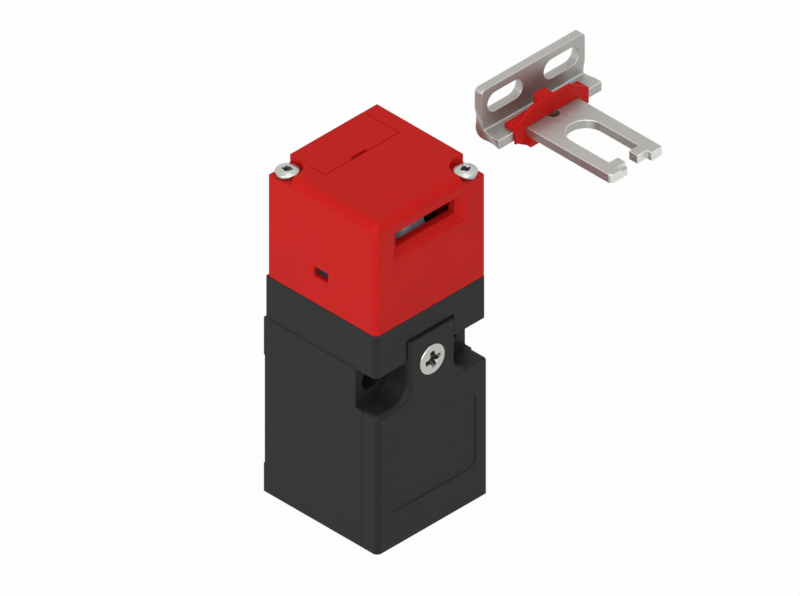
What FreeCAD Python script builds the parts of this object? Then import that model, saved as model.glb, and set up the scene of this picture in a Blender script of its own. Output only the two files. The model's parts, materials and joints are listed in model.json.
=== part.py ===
import FreeCAD, Part
import math
import os
import Sketcher

# Key-operated (tongue) interlock switch, 30 mm wide, with its loose L-shaped key.
# Frame: origin on the plunger axis at the bottom face, +Z up, the key slot and the
# cover face -Y, the mounting face is +Y, X runs across the width. Lengths in mm.

SIZES = [
    # switch body
    ("body_width", 30.0), ("body_front", 15.2), ("body_back", 15.8), ("shoulder_height", 41.2),
    ("cover_joint", 11.0), ("body_wall", 2.4), ("edge_radius", 1.2), ("far_edge_radius", 0.5),
    ("collar_half_width", 14.85), ("collar_front", 14.66), ("collar_back", 15.29), ("collar_height", 10.0),
    ("recess_floor", 32.3), ("recess_wall", 9.25), ("recess_radius", 3.5),
    ("relief_depth", 0.25), ("relief_low", 6.8),
    ("conduit_radius", 10.0), ("conduit_floor", 12.0), ("chamber_half_width", 12.4), ("chamber_top", 30.5),
    ("fixing_spacing", 21.0), ("fixing_radius", 2.15), ("fixing_play", 1.0), ("fixing_height", 37.0),
    # cover
    ("cover_wall", 2.0), ("seam", 0.05), ("tab_half_width", 6.1), ("tab_top", 45.8), ("tab_gap", 0.4),
    ("panel_half_width", 12.0), ("panel_low", 8.0), ("panel_high", 26.0), ("panel_depth", 0.2),
    ("panel_corner", 2.0), ("ear_radius", 0.9),
    ("cover_screw_height", 39.2), ("cover_screw_head_radius", 3.35), ("cover_screw_head", 1.6),
    ("cover_screw_stand", 0.4), ("cover_screw_radius", 1.75), ("cover_screw_length", 8.5),
    # seals
    ("seal_width", 0.8), ("seal_thickness", 0.6), ("seal_edge", 0.6),
    # head
    ("head_half_width", 14.8), ("head_half_depth", 14.65), ("head_height", 26.0), ("head_wall", 1.8),
    ("head_roof", 3.6), ("head_edge", 2.2), ("corner_notch", 5.7), ("corner_drop", 1.9),
    ("corner_radius", 3.1),
    ("head_screw_offset", 12.15), ("head_screw_radius", 1.25), ("head_screw_head_radius", 2.45),
    ("head_screw_head", 1.5), ("head_screw_length", 31.0),
    ("slot_width", 16.0), ("slot_low", 17.6), ("slot_gap", 3.2), ("funnel_flare", 2.0), ("funnel_top", 1.5),
    ("funnel_depth", 1.38), ("guide_depth", 1.25), ("window_centre", 0.4), ("window_width", 3.8),
    ("window_height", 2.2),
    ("window_low", 6.4), ("panel_left", 9.1), ("panel_right", 11.1), ("panel_front", 4.85),
    ("panel_thickness", 1.8), ("panel_gap", 0.12), ("pry_left", 1.5), ("pry_right", 2.7), ("pry_depth", 0.6),
    ("plug_depth", 1.6),
    # cam wheel
    ("cam_height", 10.7), ("cam_radius", 9.2), ("cam_thickness", 2.4), ("lobe_radius", 7.2),
    ("lobe_drop", 3.5),
    ("cam_turn", 60.0), ("side_cam_radius", 7.2), ("side_cam_inner", 1.35), ("side_cam_outer", 6.5),
    ("axle_radius", 2.0), ("drive_pin_radius", 1.2), ("drive_pin_reach", 7.9), ("drive_pin_angle", 35.0),
    ("drive_pin_length", 7.6), ("running_gap", 0.05),
    ("cheek_inner", 8.3), ("cheek_thickness", 2.0), ("cheek_front", 6.0), ("cheek_back", 7.0),
    ("cheek_height", 14.8), ("carrier_base", 1.6), ("nose_reach", 14.0), ("nose_gap", 0.2),
    # plunger train
    ("plunger_radius", 2.0), ("tip_gap", 0.4), ("tip_radius", 0.25), ("tip_root", 1.55), ("tip_taper", 2.6),
    ("blade_thickness", 2.4), ("blade_length", 4.0),
    ("spring_pocket_radius", 4.6), ("spring_pocket_floor", 36.0), ("spring_length", 4.0),
    ("shoulder_radius", 3.9), ("plunger_shoulder", 1.0), ("bush_radius", 6.0), ("bush_height", 6.0),
    ("lip_radius", 3.6), ("lip_height", 1.0), ("spring_wire", 0.35), ("spring_radius", 3.3),
    # contact block
    ("block_front", 4.5), ("block_bottom", 14.5), ("block_gap", 0.1), ("pit_half_width", 9.6),
    ("pit_half_depth", 2.8), ("pit_bottom", 15.3), ("pit_top", 29.0),
    ("contact_travel", 3.5), ("contact_gap", 0.15), ("lower_contact", 16.8), ("strip_thickness", 0.8),
    ("terminal_offset", 7.2), ("terminal_width", 5.2), ("terminal_height", 5.6), ("terminal_spread", 6.4),
    ("finger_width", 2.6), ("finger_reach", 1.4), ("bridge_half_length", 8.8), ("bridge_width", 2.6),
    ("post_half_width", 2.2), ("slider_gap", 0.1), ("stem_radius", 1.7), ("contact_spring_radius", 1.0),
    ("contact_spring_wire", 0.2), ("contact_spring_length", 1.6),
    ("terminal_screw_radius", 1.2), ("terminal_head_radius", 2.2), ("terminal_head", 1.6),
    ("clamp_thickness", 0.8),
    # key
    ("key_offset", 42.45), ("key_plate_front", 0.4), ("key_thickness", 2.0), ("key_width", 28.2),
    ("key_rise", 9.3), ("key_bend", 0.5), ("flange_depth", 4.6), ("tongue_width", 14.1),
    ("tongue_length", 28.25),
    ("window_span", 8.0), ("window_start", 10.4), ("hook_length", 3.6), ("long_hook", 2.4),
    ("short_hook", 2.6),
    ("hook_setback", 1.25), ("hook_step", 0.55),
    ("bend_relief", 0.4), ("bend_relief_radius", 4.4), ("sight_radius", 1.35), ("key_hole_spacing", 15.4),
    ("key_hole_height", 4.4), ("key_hole_length", 9.6),
    ("key_hole_rise", 5.3), ("key_corner", 1.0), ("far_corner", 0.5),
    # key guide
    ("guide_front", 5.2), ("guide_back", 2.0), ("guide_half_width", 10.0), ("guide_wing", 1.0),
    ("guide_wall_top", 4.0), ("guide_wall_half", 5.2), ("guide_wall", 0.8), ("guide_rib_half", 1.8),
    ("guide_rib_shift", -0.8), ("guide_under", 2.2), ("guide_skirt", 0.7), ("guide_lip", 1.2),
    ("guide_fit", 0.05),
]

doc = FreeCAD.newDocument("TongueInterlock")
sheet = doc.addObject("Spreadsheet::Sheet", "Sizes")
for row, (alias, value) in enumerate(SIZES, start=1):
    sheet.set(f"A{row}", alias)
    sheet.set(f"B{row}", str(value))
    sheet.setAlias(f"B{row}", alias)
doc.recompute()

HALF = "Sizes.body_width / 2"
COLLAR_TOP = "(Sizes.shoulder_height + Sizes.collar_height)"
HEAD_TOP = f"({COLLAR_TOP} + Sizes.head_height)"
CAM_Z = f"({COLLAR_TOP} + Sizes.cam_height)"
SLOT_LOW = f"({COLLAR_TOP} + Sizes.slot_low)"
SLOT_MID = f"({SLOT_LOW} + Sizes.slot_gap / 2)"
CHAMBER_BACK = "(Sizes.body_back - Sizes.body_wall)"


def size(expression):
    """The number that an expression of the sheet's sizes gives."""
    return float(sheet.evalExpression(expression))


# ---------------------------------------------------------------- shared makers


def block(name, x_span, y_span, z_span):
    """A box between three (low, high) pairs of expressions."""
    box = doc.addObject("Part::Box", name)
    for side, axis, (low, high) in zip(("Length", "Width", "Height"), "xyz", (x_span, y_span, z_span)):
        box.setExpression(side, f"({high}) - ({low})")
        box.setExpression(f"Placement.Base.{axis}", low)
    return box


AXIS_TURN = {"x": ((0, 1, 0), 90), "y": ((1, 0, 0), -90), "z": ((0, 0, 1), 0)}


def rod(name, axis, centre, span, radius):
    """A cylinder along one axis between two expressions, about a centre line given in the other two."""
    turn_axis, angle = AXIS_TURN[axis]
    cylinder = doc.addObject("Part::Cylinder", name)
    cylinder.Placement = FreeCAD.Placement(
        FreeCAD.Vector(), FreeCAD.Rotation(FreeCAD.Vector(*turn_axis), angle)
    )
    cylinder.setExpression("Radius", radius)
    cylinder.setExpression("Height", f"({span[1]}) - ({span[0]})")
    others = [letter for letter in "xyz" if letter != axis]
    for letter, expression in zip(others, centre):
        cylinder.setExpression(f"Placement.Base.{letter}", expression)
    cylinder.setExpression(f"Placement.Base.{axis}", span[0])
    return cylinder


def fuse(name, pieces):
    """The union of several objects."""
    union = doc.addObject("Part::MultiFuse", name)
    union.Shapes = pieces
    union.Refine = True
    return union


def cut(name, base, tools):
    """One object less several others."""
    result = doc.addObject("Part::Cut", name)
    result.Base = base
    result.Tool = tools[0] if len(tools) == 1 else fuse(f"{name}_tools", tools)
    result.Refine = True
    return result


def origin_plane(body, role):
    """A body's own origin plane, found by its role."""
    return next(item for item in body.Origin.OriginFeatures if item.Role == role)


def outline(body, name, role, corners, start):
    """A closed straight-sided sketch whose corners are pairs of expressions."""
    sketch = body.newObject("Sketcher::SketchObject", name)
    sketch.AttachmentSupport = (origin_plane(body, role), [""])
    sketch.MapMode = "FlatFace"
    sketch.setExpression("AttachmentOffset.Base.z", start)
    points = [FreeCAD.Vector(size(u), size(v), 0) for u, v in corners]
    for index, point in enumerate(points):
        sketch.addGeometry(Part.LineSegment(point, points[(index + 1) % len(points)]), False)
    for index in range(len(points)):
        following = (index + 1) % len(points)
        sketch.addConstraint(Sketcher.Constraint("Coincident", index, 2, following, 1))
    for index, (u, v) in enumerate(corners):
        for kind, expression, value in (("DistanceX", u, points[index].x), ("DistanceY", v, points[index].y)):
            number = sketch.addConstraint(Sketcher.Constraint(kind, -1, 1, index, 1, value))
            sketch.setExpression(f"Constraints[{number}]", expression)
    return sketch


def rectangle(u_span, v_span):
    """The four corners of a rectangle given by two (low, high) pairs."""
    return [(u_span[0], v_span[0]), (u_span[1], v_span[0]), (u_span[1], v_span[1]), (u_span[0], v_span[1])]


def pad(body, name, role, corners, start, length):
    """Adds a prism: from a distance along the plane's normal, over a length."""
    feature = body.newObject("PartDesign::Pad", name)
    feature.Profile = outline(body, f"{name}_sketch", role, corners, start)
    feature.setExpression("Length", length)
    doc.recompute()
    return feature


def pocket(body, name, role, corners, start, length):
    """Cuts a prism out of the body, along the plane's normal, and makes sure that it cut something."""
    before = body.Shape.Volume
    feature = body.newObject("PartDesign::Pocket", name)
    feature.Profile = outline(body, f"{name}_sketch", role, corners, start)
    feature.Reversed = True
    feature.setExpression("Length", length)
    doc.recompute()
    if not body.Shape.Volume < before:
        raise ValueError(f"{name} cuts nothing")
    return feature


def bore(body, name, role, centre, radius, start, length):
    """Cuts a round hole out of the body, along the plane's normal."""
    before = body.Shape.Volume
    sketch = body.newObject("Sketcher::SketchObject", f"{name}_sketch")
    sketch.AttachmentSupport = (origin_plane(body, role), [""])
    sketch.MapMode = "FlatFace"
    sketch.setExpression("AttachmentOffset.Base.z", start)
    middle = FreeCAD.Vector(size(centre[0]), size(centre[1]), 0)
    sketch.addGeometry(Part.Circle(middle, FreeCAD.Vector(0, 0, 1), size(radius)), False)
    wanted = (
        (Sketcher.Constraint("DistanceX", -1, 1, 0, 3, middle.x), centre[0]),
        (Sketcher.Constraint("DistanceY", -1, 1, 0, 3, middle.y), centre[1]),
        (Sketcher.Constraint("Radius", 0, size(radius)), radius),
    )
    for constraint, expression in wanted:
        number = sketch.addConstraint(constraint)
        sketch.setExpression(f"Constraints[{number}]", expression)
    feature = body.newObject("PartDesign::Pocket", name)
    feature.Profile = sketch
    feature.Reversed = True
    feature.setExpression("Length", length)
    doc.recompute()
    if not body.Shape.Volume < before:
        raise ValueError(f"{name} cuts nothing")
    return feature


def round_edges(body, name, wanted, radius):
    """Rounds the edges of the body's last feature that a test on their middle and direction picks."""
    last = body.Tip
    names = []
    for number, edge in enumerate(last.Shape.Edges, start=1):
        ends = [vertex.Point for vertex in edge.Vertexes]
        if len(ends) < 2 or abs(edge.Length - ends[0].distanceToPoint(ends[1])) > 1e-6:
            continue
        if wanted((ends[0] + ends[1]) / 2, (ends[1] - ends[0]).normalize()):
            names.append(f"Edge{number}")
    feature = body.newObject("PartDesign::Fillet", name)
    feature.Base = (last, names)
    feature.setExpression("Radius", radius)
    doc.recompute()
    return feature


def spring(name, coil_radius, wire_radius, low, high, turns):
    """A compression spring about the Z axis: a six-sided wire along a helix of ten straight steps per turn."""
    per_turn = 10
    steps = per_turn * turns
    bottom, top = low + wire_radius, high - wire_radius
    points = []
    for step in range(steps + 1):
        angle = 2 * math.pi * step / per_turn
        height = bottom + (top - bottom) * step / steps
        points.append(FreeCAD.Vector(coil_radius * math.cos(angle), coil_radius * math.sin(angle), height))
    path = Part.makePolygon(points)
    along = (points[1] - points[0]).normalize()
    outward = FreeCAD.Vector(1, 0, 0)
    outward = (outward - along * outward.dot(along)).normalize() * wire_radius
    corners = [points[0] + FreeCAD.Rotation(along, 60 * corner).multVec(outward) for corner in range(7)]
    section = Part.makePolygon(corners)
    sweep = path.makePipeShell([section], True, False, 1)
    piece = doc.addObject("Part::Feature", name)
    piece.Shape = sweep
    return piece


# ---------------------------------------------------------------- switch body


def recess_corners(side, low, high):
    """The outline of a front corner recess, seen from the front, from its floor up to a height."""
    inner, outer = "Sizes.tab_half_width", f"{HALF} + 1"
    if side < 0:
        return rectangle((f"-({outer})", f"-({inner})"), (low, high))
    return rectangle((inner, outer), (low, high))


def body_housing():
    """The moulded housing: wiring chamber, fixing ears, conduit entry and the collar under the head."""
    body = doc.addObject("PartDesign::Body", "body_housing")
    doc.recompute()
    full = (f"-{HALF}", HALF)
    pad(body, "shell", "XY_Plane", rectangle(full, ("-Sizes.cover_joint", "Sizes.body_back")), "0",
        "Sizes.shoulder_height")
    core = ("-Sizes.tab_half_width", "Sizes.tab_half_width")
    behind_tab = "-(Sizes.body_front - Sizes.cover_wall - Sizes.seam)"
    pad(body, "screw_core", "XY_Plane", rectangle(core, (behind_tab, "-Sizes.cover_joint + 1")),
        "Sizes.recess_floor + Sizes.seam", "Sizes.shoulder_height - Sizes.recess_floor - Sizes.seam")
    for side, label in ((-1, "left"), (1, "right")):
        pocket(body, f"recess_{label}", "XZ_Plane", recess_corners(side, "Sizes.recess_floor", "Sizes.shoulder_height"),
               "Sizes.recess_wall", "Sizes.body_front")
    foot = "Sizes.tab_half_width + Sizes.recess_radius"
    for label, front, rear, gap in (("front", behind_tab, "-Sizes.cover_joint", "Sizes.seam"),
                                    ("rear", "-Sizes.cover_joint", "-Sizes.recess_wall + 0.5", "0")):
        pad(body, f"foot_{label}", "XY_Plane", rectangle((f"-({foot})", foot), (front, rear)),
            f"Sizes.recess_floor + {gap}", f"Sizes.recess_radius - {gap}")
    for side, label in ((-1, "left"), (1, "right")):
        bore(body, f"recess_round_{label}", "XZ_Plane",
             (f"{side} * ({foot})", "Sizes.recess_floor + Sizes.recess_radius"), "Sizes.recess_radius",
             "Sizes.recess_wall", "Sizes.body_front")
    collar = (("-Sizes.collar_half_width", "Sizes.collar_half_width"), ("-Sizes.collar_front", "Sizes.collar_back"))
    pad(body, "collar", "XY_Plane", rectangle(*collar), "Sizes.shoulder_height", "Sizes.collar_height")
    round_edges(
        body, "collar_edge",
        lambda middle, line: abs(line.z) > 0.9 and middle.x < 1 - size(HALF)
        and middle.y < 0 and middle.z > size("Sizes.shoulder_height"),
        "Sizes.edge_radius",
    )
    notch = ("-(Sizes.tab_half_width + Sizes.tab_gap)", "Sizes.tab_half_width + Sizes.tab_gap")
    pocket(body, "tab_notch", "XZ_Plane",
           rectangle(notch, ("Sizes.shoulder_height", "Sizes.tab_top + Sizes.tab_gap")),
           f"-({behind_tab})", "Sizes.cover_wall")
    chamber = ("-Sizes.chamber_half_width", "Sizes.chamber_half_width")
    pocket(body, "chamber", "XZ_Plane", rectangle(chamber, ("Sizes.conduit_floor", "Sizes.chamber_top")),
           f"-{CHAMBER_BACK}", f"{CHAMBER_BACK} + Sizes.cover_joint")
    bore(body, "conduit", "XY_Plane", ("0", "0"), "Sizes.conduit_radius", "0", "Sizes.conduit_floor")
    bore(body, "plunger_way", "XY_Plane", ("0", "0"), "Sizes.plunger_radius + 3 * Sizes.running_gap",
         "Sizes.chamber_top", "Sizes.spring_pocket_floor - Sizes.chamber_top")
    bore(body, "spring_pocket", "XY_Plane", ("0", "0"), "Sizes.spring_pocket_radius",
         "Sizes.spring_pocket_floor", f"{COLLAR_TOP} - Sizes.spring_pocket_floor - Sizes.bush_height")
    bore(body, "bush_seat", "XY_Plane", ("0", "0"), "Sizes.bush_radius",
         f"{COLLAR_TOP} - Sizes.bush_height", "Sizes.bush_height")
    bore(body, "cover_screw_hole", "XZ_Plane", ("0", "Sizes.cover_screw_height"),
         "Sizes.cover_screw_radius + Sizes.running_gap",
         "Sizes.body_front - Sizes.cover_screw_length + Sizes.cover_screw_stand", "Sizes.cover_screw_length")
    for side, label in ((-1, "left"), (1, "right")):
        hole_z = rectangle(
            (f"{side} * Sizes.fixing_spacing / 2 - Sizes.fixing_play / 2",
             f"{side} * Sizes.fixing_spacing / 2 + Sizes.fixing_play / 2"),
            ("Sizes.fixing_height - Sizes.fixing_radius", "Sizes.fixing_height + Sizes.fixing_radius"))
        through = "Sizes.body_back + Sizes.recess_wall"
        pocket(body, f"fixing_{label}", "XZ_Plane", hole_z, "-Sizes.body_back", through)
        for end in (-1, 1):
            centre = f"{side} * Sizes.fixing_spacing / 2 + {end} * Sizes.fixing_play / 2"
            bore(body, f"fixing_{label}_{'low' if end < 0 else 'high'}", "XZ_Plane",
                 (centre, "Sizes.fixing_height"), "Sizes.fixing_radius", "-Sizes.body_back", through)
    for side, label in ((-1, "left"), (1, "right")):
        bore(body, f"head_screw_{label}", "XY_Plane",
             (f"{side} * Sizes.head_screw_offset", f"{-side} * Sizes.head_screw_offset"),
             "Sizes.head_screw_radius", f"{HEAD_TOP} - Sizes.corner_drop - Sizes.head_screw_length",
             f"Sizes.head_screw_length - Sizes.head_height + Sizes.corner_drop")
    pocket(body, "back_relief", "XZ_Plane",
           rectangle((f"-{HALF} - 1", f"{HALF} + 1"), ("Sizes.relief_low", "Sizes.recess_floor")),
           "-Sizes.body_back", "Sizes.relief_depth")
    seal_groove(body, "cover_groove", "XZ_Plane", cover_seal_spans(), "Sizes.cover_joint - Sizes.seal_thickness")
    seal_groove(body, "head_groove", "XY_Plane", head_seal_spans(), f"{COLLAR_TOP} - Sizes.seal_thickness")
    return body


def cover_seal_spans():
    """The cover seal's outer (u, v) spans, round the wiring chamber's mouth."""
    side = f"{HALF} - Sizes.seal_edge - 0.4"
    top = "Sizes.recess_floor - Sizes.seal_edge"
    bottom = "Sizes.conduit_floor - 1"
    return (f"-({side})", side), (bottom, top)


def head_seal_spans():
    """The head seal's outer (u, v) spans, under the head's wall."""
    side = "Sizes.head_half_width - Sizes.seal_edge + 0.05"
    depth = "Sizes.head_half_depth - Sizes.seal_edge + 0.2"
    return (f"-({side})", side), (f"-({depth})", depth)


def ring_pieces(spans, width):
    """Four rectangles that make a rectangular ring, as corner lists."""
    (left, right), (low, high) = spans
    return [
        rectangle((left, right), (low, f"{low} + {width}")),
        rectangle((left, right), (f"{high} - {width}", high)),
        rectangle((left, f"{left} + {width}"), (f"{low} + {width}", f"{high} - {width}")),
        rectangle((f"{right} - {width}", right), (f"{low} + {width}", f"{high} - {width}")),
    ]


def seal_groove(body, name, role, spans, start):
    """A rectangular groove of the seal's section."""
    for number, corners in enumerate(ring_pieces(spans, "Sizes.seal_width"), start=1):
        pocket(body, f"{name}_{number}", role, corners, start, "Sizes.seal_thickness")


def seal_ring(name, role, spans, start, thickness):
    """A flat rectangular seal: a plate with its middle cut out."""
    body = doc.addObject("PartDesign::Body", name)
    doc.recompute()
    (left, right), (low, high) = spans
    pad(body, f"{name}_plate", role, rectangle((left, right), (low, high)), start, thickness)
    width = "Sizes.seal_width"
    inner = rectangle((f"{left} + {width}", f"{right} - {width}"), (f"{low} + {width}", f"{high} - {width}"))
    pocket(body, f"{name}_opening", role, inner, start, thickness)
    return body


def front_cover():
    """The cover: a tray over the wiring chamber with a tab that reaches up into the collar's notch."""
    body = doc.addObject("PartDesign::Body", "front_cover")
    doc.recompute()
    inside = "(Sizes.cover_joint + Sizes.seam)"
    face = "(Sizes.body_front - Sizes.cover_wall)"
    tab = "Sizes.tab_half_width"
    full = (f"-{HALF}", HALF)
    pad(body, "tray", "XZ_Plane", rectangle(full, ("0", "Sizes.recess_floor")), inside,
        f"Sizes.body_front - {inside}")
    pad(body, "tab", "XZ_Plane", rectangle((f"-{tab}", tab), ("Sizes.recess_floor - 1", "Sizes.tab_top")), face,
        "Sizes.cover_wall")
    tray_edge = f"{HALF} - Sizes.cover_wall"
    rib_low = "Sizes.conduit_floor - 1.6"
    rib_high = "Sizes.conduit_floor + 0.4"
    pocket(body, "upper_hollow", "XZ_Plane",
           rectangle((f"-({tray_edge})", tray_edge), (rib_high, "Sizes.recess_floor - Sizes.cover_wall")), inside,
           f"{face} - {inside}")
    pocket(body, "lower_hollow", "XZ_Plane",
           rectangle((f"-({tray_edge})", tray_edge), ("Sizes.cover_wall", rib_low)), inside, f"{face} - {inside}")
    round_edges(
        body, "ears",
        lambda middle, line: abs(line.y) > 0.9 and abs(middle.x) > size(HALF) - 0.01
        and middle.z > size("Sizes.recess_floor") - 0.01,
        "Sizes.ear_radius",
    )
    round_edges(
        body, "tab_roots",
        lambda middle, line: abs(line.y) > 0.9 and abs(abs(middle.x) - size(tab)) < 0.01
        and abs(middle.z - size("Sizes.recess_floor")) < 0.01,
        "Sizes.recess_radius",
    )
    for side, label, radius in ((-1, "near", "Sizes.edge_radius"), (1, "far", "Sizes.far_edge_radius")):
        round_edges(
            body, f"{label}_edge",
            lambda middle, line: abs(line.z) > 0.9 and side * middle.x > size(HALF) - 0.01
            and middle.y < -size("Sizes.body_front") + 0.01,
            radius,
        )
    panel = rectangle(("-Sizes.panel_half_width", "Sizes.panel_half_width"), ("Sizes.panel_low", "Sizes.panel_high"))
    pocket(body, "label_panel", "XZ_Plane", panel, "Sizes.body_front - Sizes.panel_depth", "Sizes.panel_depth")
    round_edges(
        body, "panel_corners",
        lambda middle, line: abs(line.y) > 0.9 and abs(abs(middle.x) - size("Sizes.panel_half_width")) < 0.01
        and middle.y < -size("Sizes.body_front - Sizes.panel_depth"),
        "Sizes.panel_corner",
    )
    head_seat = "Sizes.body_front - Sizes.cover_screw_head + Sizes.cover_screw_stand"
    bore(body, "screw_seat", "XZ_Plane", ("0", "Sizes.cover_screw_height"),
         "Sizes.cover_screw_head_radius + Sizes.running_gap", head_seat,
         "Sizes.cover_screw_head - Sizes.cover_screw_stand")
    bore(body, "screw_hole", "XZ_Plane", ("0", "Sizes.cover_screw_height"), "Sizes.cover_screw_radius",
         face, "Sizes.cover_wall")
    return body


def cover_screw():
    """The cover's pan-head screw."""
    front = "-(Sizes.body_front + Sizes.cover_screw_stand)"
    under = f"{front} + Sizes.cover_screw_head"
    head = rod("cover_screw_top", "y", ("0", "Sizes.cover_screw_height"), (front, under),
               "Sizes.cover_screw_head_radius")
    shank = rod("cover_screw_shank", "y", ("0", "Sizes.cover_screw_height"),
                (under, f"{front} + Sizes.cover_screw_length"), "Sizes.cover_screw_radius")
    return fuse("cover_screw", [head, shank])


# ---------------------------------------------------------------- head


def head_housing():
    """The red head: a hollow cap with the funnelled key slot, the top entry and two screw corners."""
    body = doc.addObject("PartDesign::Body", "head_housing")
    doc.recompute()
    width, depth = "Sizes.head_half_width", "Sizes.head_half_depth"
    pad(body, "cap", "XY_Plane", rectangle((f"-{width}", width), (f"-{depth}", depth)), COLLAR_TOP,
        "Sizes.head_height")
    round_edges(
        body, "upright_edge",
        lambda middle, line: abs(line.z) > 0.9 and middle.x < 0 and middle.y < 0,
        "Sizes.edge_radius",
    )
    top = size(HEAD_TOP)
    round_edges(
        body, "crown_edges",
        lambda middle, line: abs(middle.z - top) < 0.01 and (middle.x < 1 - size(width) or middle.y < 1 - size(depth)),
        "Sizes.head_edge",
    )
    inner_width, inner_depth = f"({width} - Sizes.head_wall)", f"({depth} - Sizes.head_wall)"
    pocket(body, "hollow", "XY_Plane",
           rectangle((f"-{inner_width}", inner_width), (f"-{inner_depth}", inner_depth)), COLLAR_TOP,
           "Sizes.head_height - Sizes.head_roof")
    channel = f"{depth} - Sizes.head_wall - Sizes.guide_depth"
    pad(body, "slot_guide", "XZ_Plane",
        rectangle(("-(Sizes.slot_width / 2 + 1.5)", "Sizes.slot_width / 2 + 1.5"),
                  (f"{SLOT_LOW} - 1.5", f"{HEAD_TOP} - Sizes.head_roof")), channel, "Sizes.guide_depth")
    for side, label in ((-1, "left"), (1, "right")):
        centre = (f"{side} * Sizes.head_screw_offset", f"{-side} * Sizes.head_screw_offset")
        post(body, f"boss_{label}", centre, f"{depth} - Sizes.head_screw_offset - Sizes.running_gap", COLLAR_TOP,
             "Sizes.head_height - Sizes.head_roof")
        low_x, high_x = f"{width} - Sizes.corner_notch", f"{width} + 1"
        low_y, high_y = f"{depth} - Sizes.corner_notch", f"{depth} + 1"
        corner = (
            rectangle((low_x, high_x), (f"-({high_y})", f"-({low_y})")) if side > 0
            else rectangle((f"-({high_x})", f"-({low_x})"), (low_y, high_y))
        )
        pocket(body, f"corner_{label}", "XY_Plane", corner, f"{HEAD_TOP} - Sizes.corner_drop", "Sizes.corner_drop + 1")
        inner_x, inner_y = side * size(low_x), -side * size(low_y)
        round_edges(
            body, f"corner_wall_{label}",
            lambda middle, line: abs(line.z) > 0.9 and abs(middle.x - inner_x) < 0.01
            and abs(middle.y - inner_y) < 0.01,
            "Sizes.corner_radius",
        )
        bore(body, f"screw_way_{label}", "XY_Plane", centre, "Sizes.head_screw_radius + Sizes.running_gap",
             COLLAR_TOP, "Sizes.head_height")
    reach = "Sizes.slot_width / 2"
    slot = rectangle((f"-({reach})", reach), (SLOT_LOW, f"{SLOT_LOW} + Sizes.slot_gap"))
    pocket(body, "slot", "XZ_Plane", slot, channel, "Sizes.head_wall + Sizes.guide_depth + 1")
    funnel(body)
    window_y = ("Sizes.window_centre - Sizes.window_width / 2", "Sizes.window_centre + Sizes.window_width / 2")
    window_z = (f"{COLLAR_TOP} + Sizes.window_low", f"{COLLAR_TOP} + Sizes.window_low + Sizes.window_height")
    pocket(body, "latch_window_left", "YZ_Plane", rectangle(window_y, window_z), f"-({width} + 1)",
           "Sizes.head_wall + 2")
    pocket(body, "latch_window_right", "YZ_Plane", rectangle(window_y, window_z), inner_width,
           "Sizes.head_wall + 1")
    pocket(body, "top_seat", "XY_Plane",
           rectangle(("-Sizes.panel_left", "Sizes.panel_right"), ("Sizes.panel_front", f"{depth} + 1")),
           f"{HEAD_TOP} - Sizes.panel_thickness", "Sizes.panel_thickness + 1")
    pocket(body, "top_slot", "XY_Plane",
           rectangle((f"-({reach})", reach), top_slot_span()), f"{HEAD_TOP} - Sizes.head_roof",
           "Sizes.head_roof")
    return body


def top_slot_span():
    """The Y span of the top entry: as far behind the cam's axle as the front slot is above it."""
    middle = f"({SLOT_MID} - {CAM_Z})"
    return f"{middle} - Sizes.slot_gap / 2", f"{middle} + Sizes.slot_gap / 2"


def post(body, name, centre, radius, start, length):
    """Adds a round post, along the plane's normal."""
    sketch = body.newObject("Sketcher::SketchObject", f"{name}_sketch")
    sketch.AttachmentSupport = (origin_plane(body, "XY_Plane"), [""])
    sketch.MapMode = "FlatFace"
    sketch.setExpression("AttachmentOffset.Base.z", start)
    middle = FreeCAD.Vector(size(centre[0]), size(centre[1]), 0)
    sketch.addGeometry(Part.Circle(middle, FreeCAD.Vector(0, 0, 1), size(radius)), False)
    wanted = (
        (Sketcher.Constraint("DistanceX", -1, 1, 0, 3, middle.x), centre[0]),
        (Sketcher.Constraint("DistanceY", -1, 1, 0, 3, middle.y), centre[1]),
        (Sketcher.Constraint("Radius", 0, size(radius)), radius),
    )
    for constraint, expression in wanted:
        number = sketch.addConstraint(constraint)
        sketch.setExpression(f"Constraints[{number}]", expression)
    feature = body.newObject("PartDesign::Pad", name)
    feature.Profile = sketch
    feature.setExpression("Length", length)
    doc.recompute()
    return feature


def funnel(body):
    """The slot's flared mouth: a cut lofted from the slot's section to a larger one on the front face."""
    reach, flare = "Sizes.slot_width / 2", "Sizes.funnel_flare"
    throat = rectangle((f"-({reach})", reach), (SLOT_LOW, f"{SLOT_LOW} + Sizes.slot_gap"))
    mouth = rectangle((f"-({reach} + {flare})", f"{reach} + {flare}"),
                      (f"{SLOT_LOW} - {flare}", f"{SLOT_LOW} + Sizes.slot_gap + Sizes.funnel_top"))
    inner = outline(body, "funnel_throat", "XZ_Plane", throat, "Sizes.head_half_depth - Sizes.funnel_depth")
    outer = outline(body, "funnel_mouth", "XZ_Plane", mouth, "Sizes.head_half_depth")
    doc.recompute()
    before = body.Shape.Volume
    loft = body.newObject("PartDesign::SubtractiveLoft", "funnel")
    loft.Profile = inner
    loft.Sections = [outer]
    loft.Ruled = True
    doc.recompute()
    if not body.Shape.Volume < before:
        raise ValueError("the funnel cuts nothing")
    return loft


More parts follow.
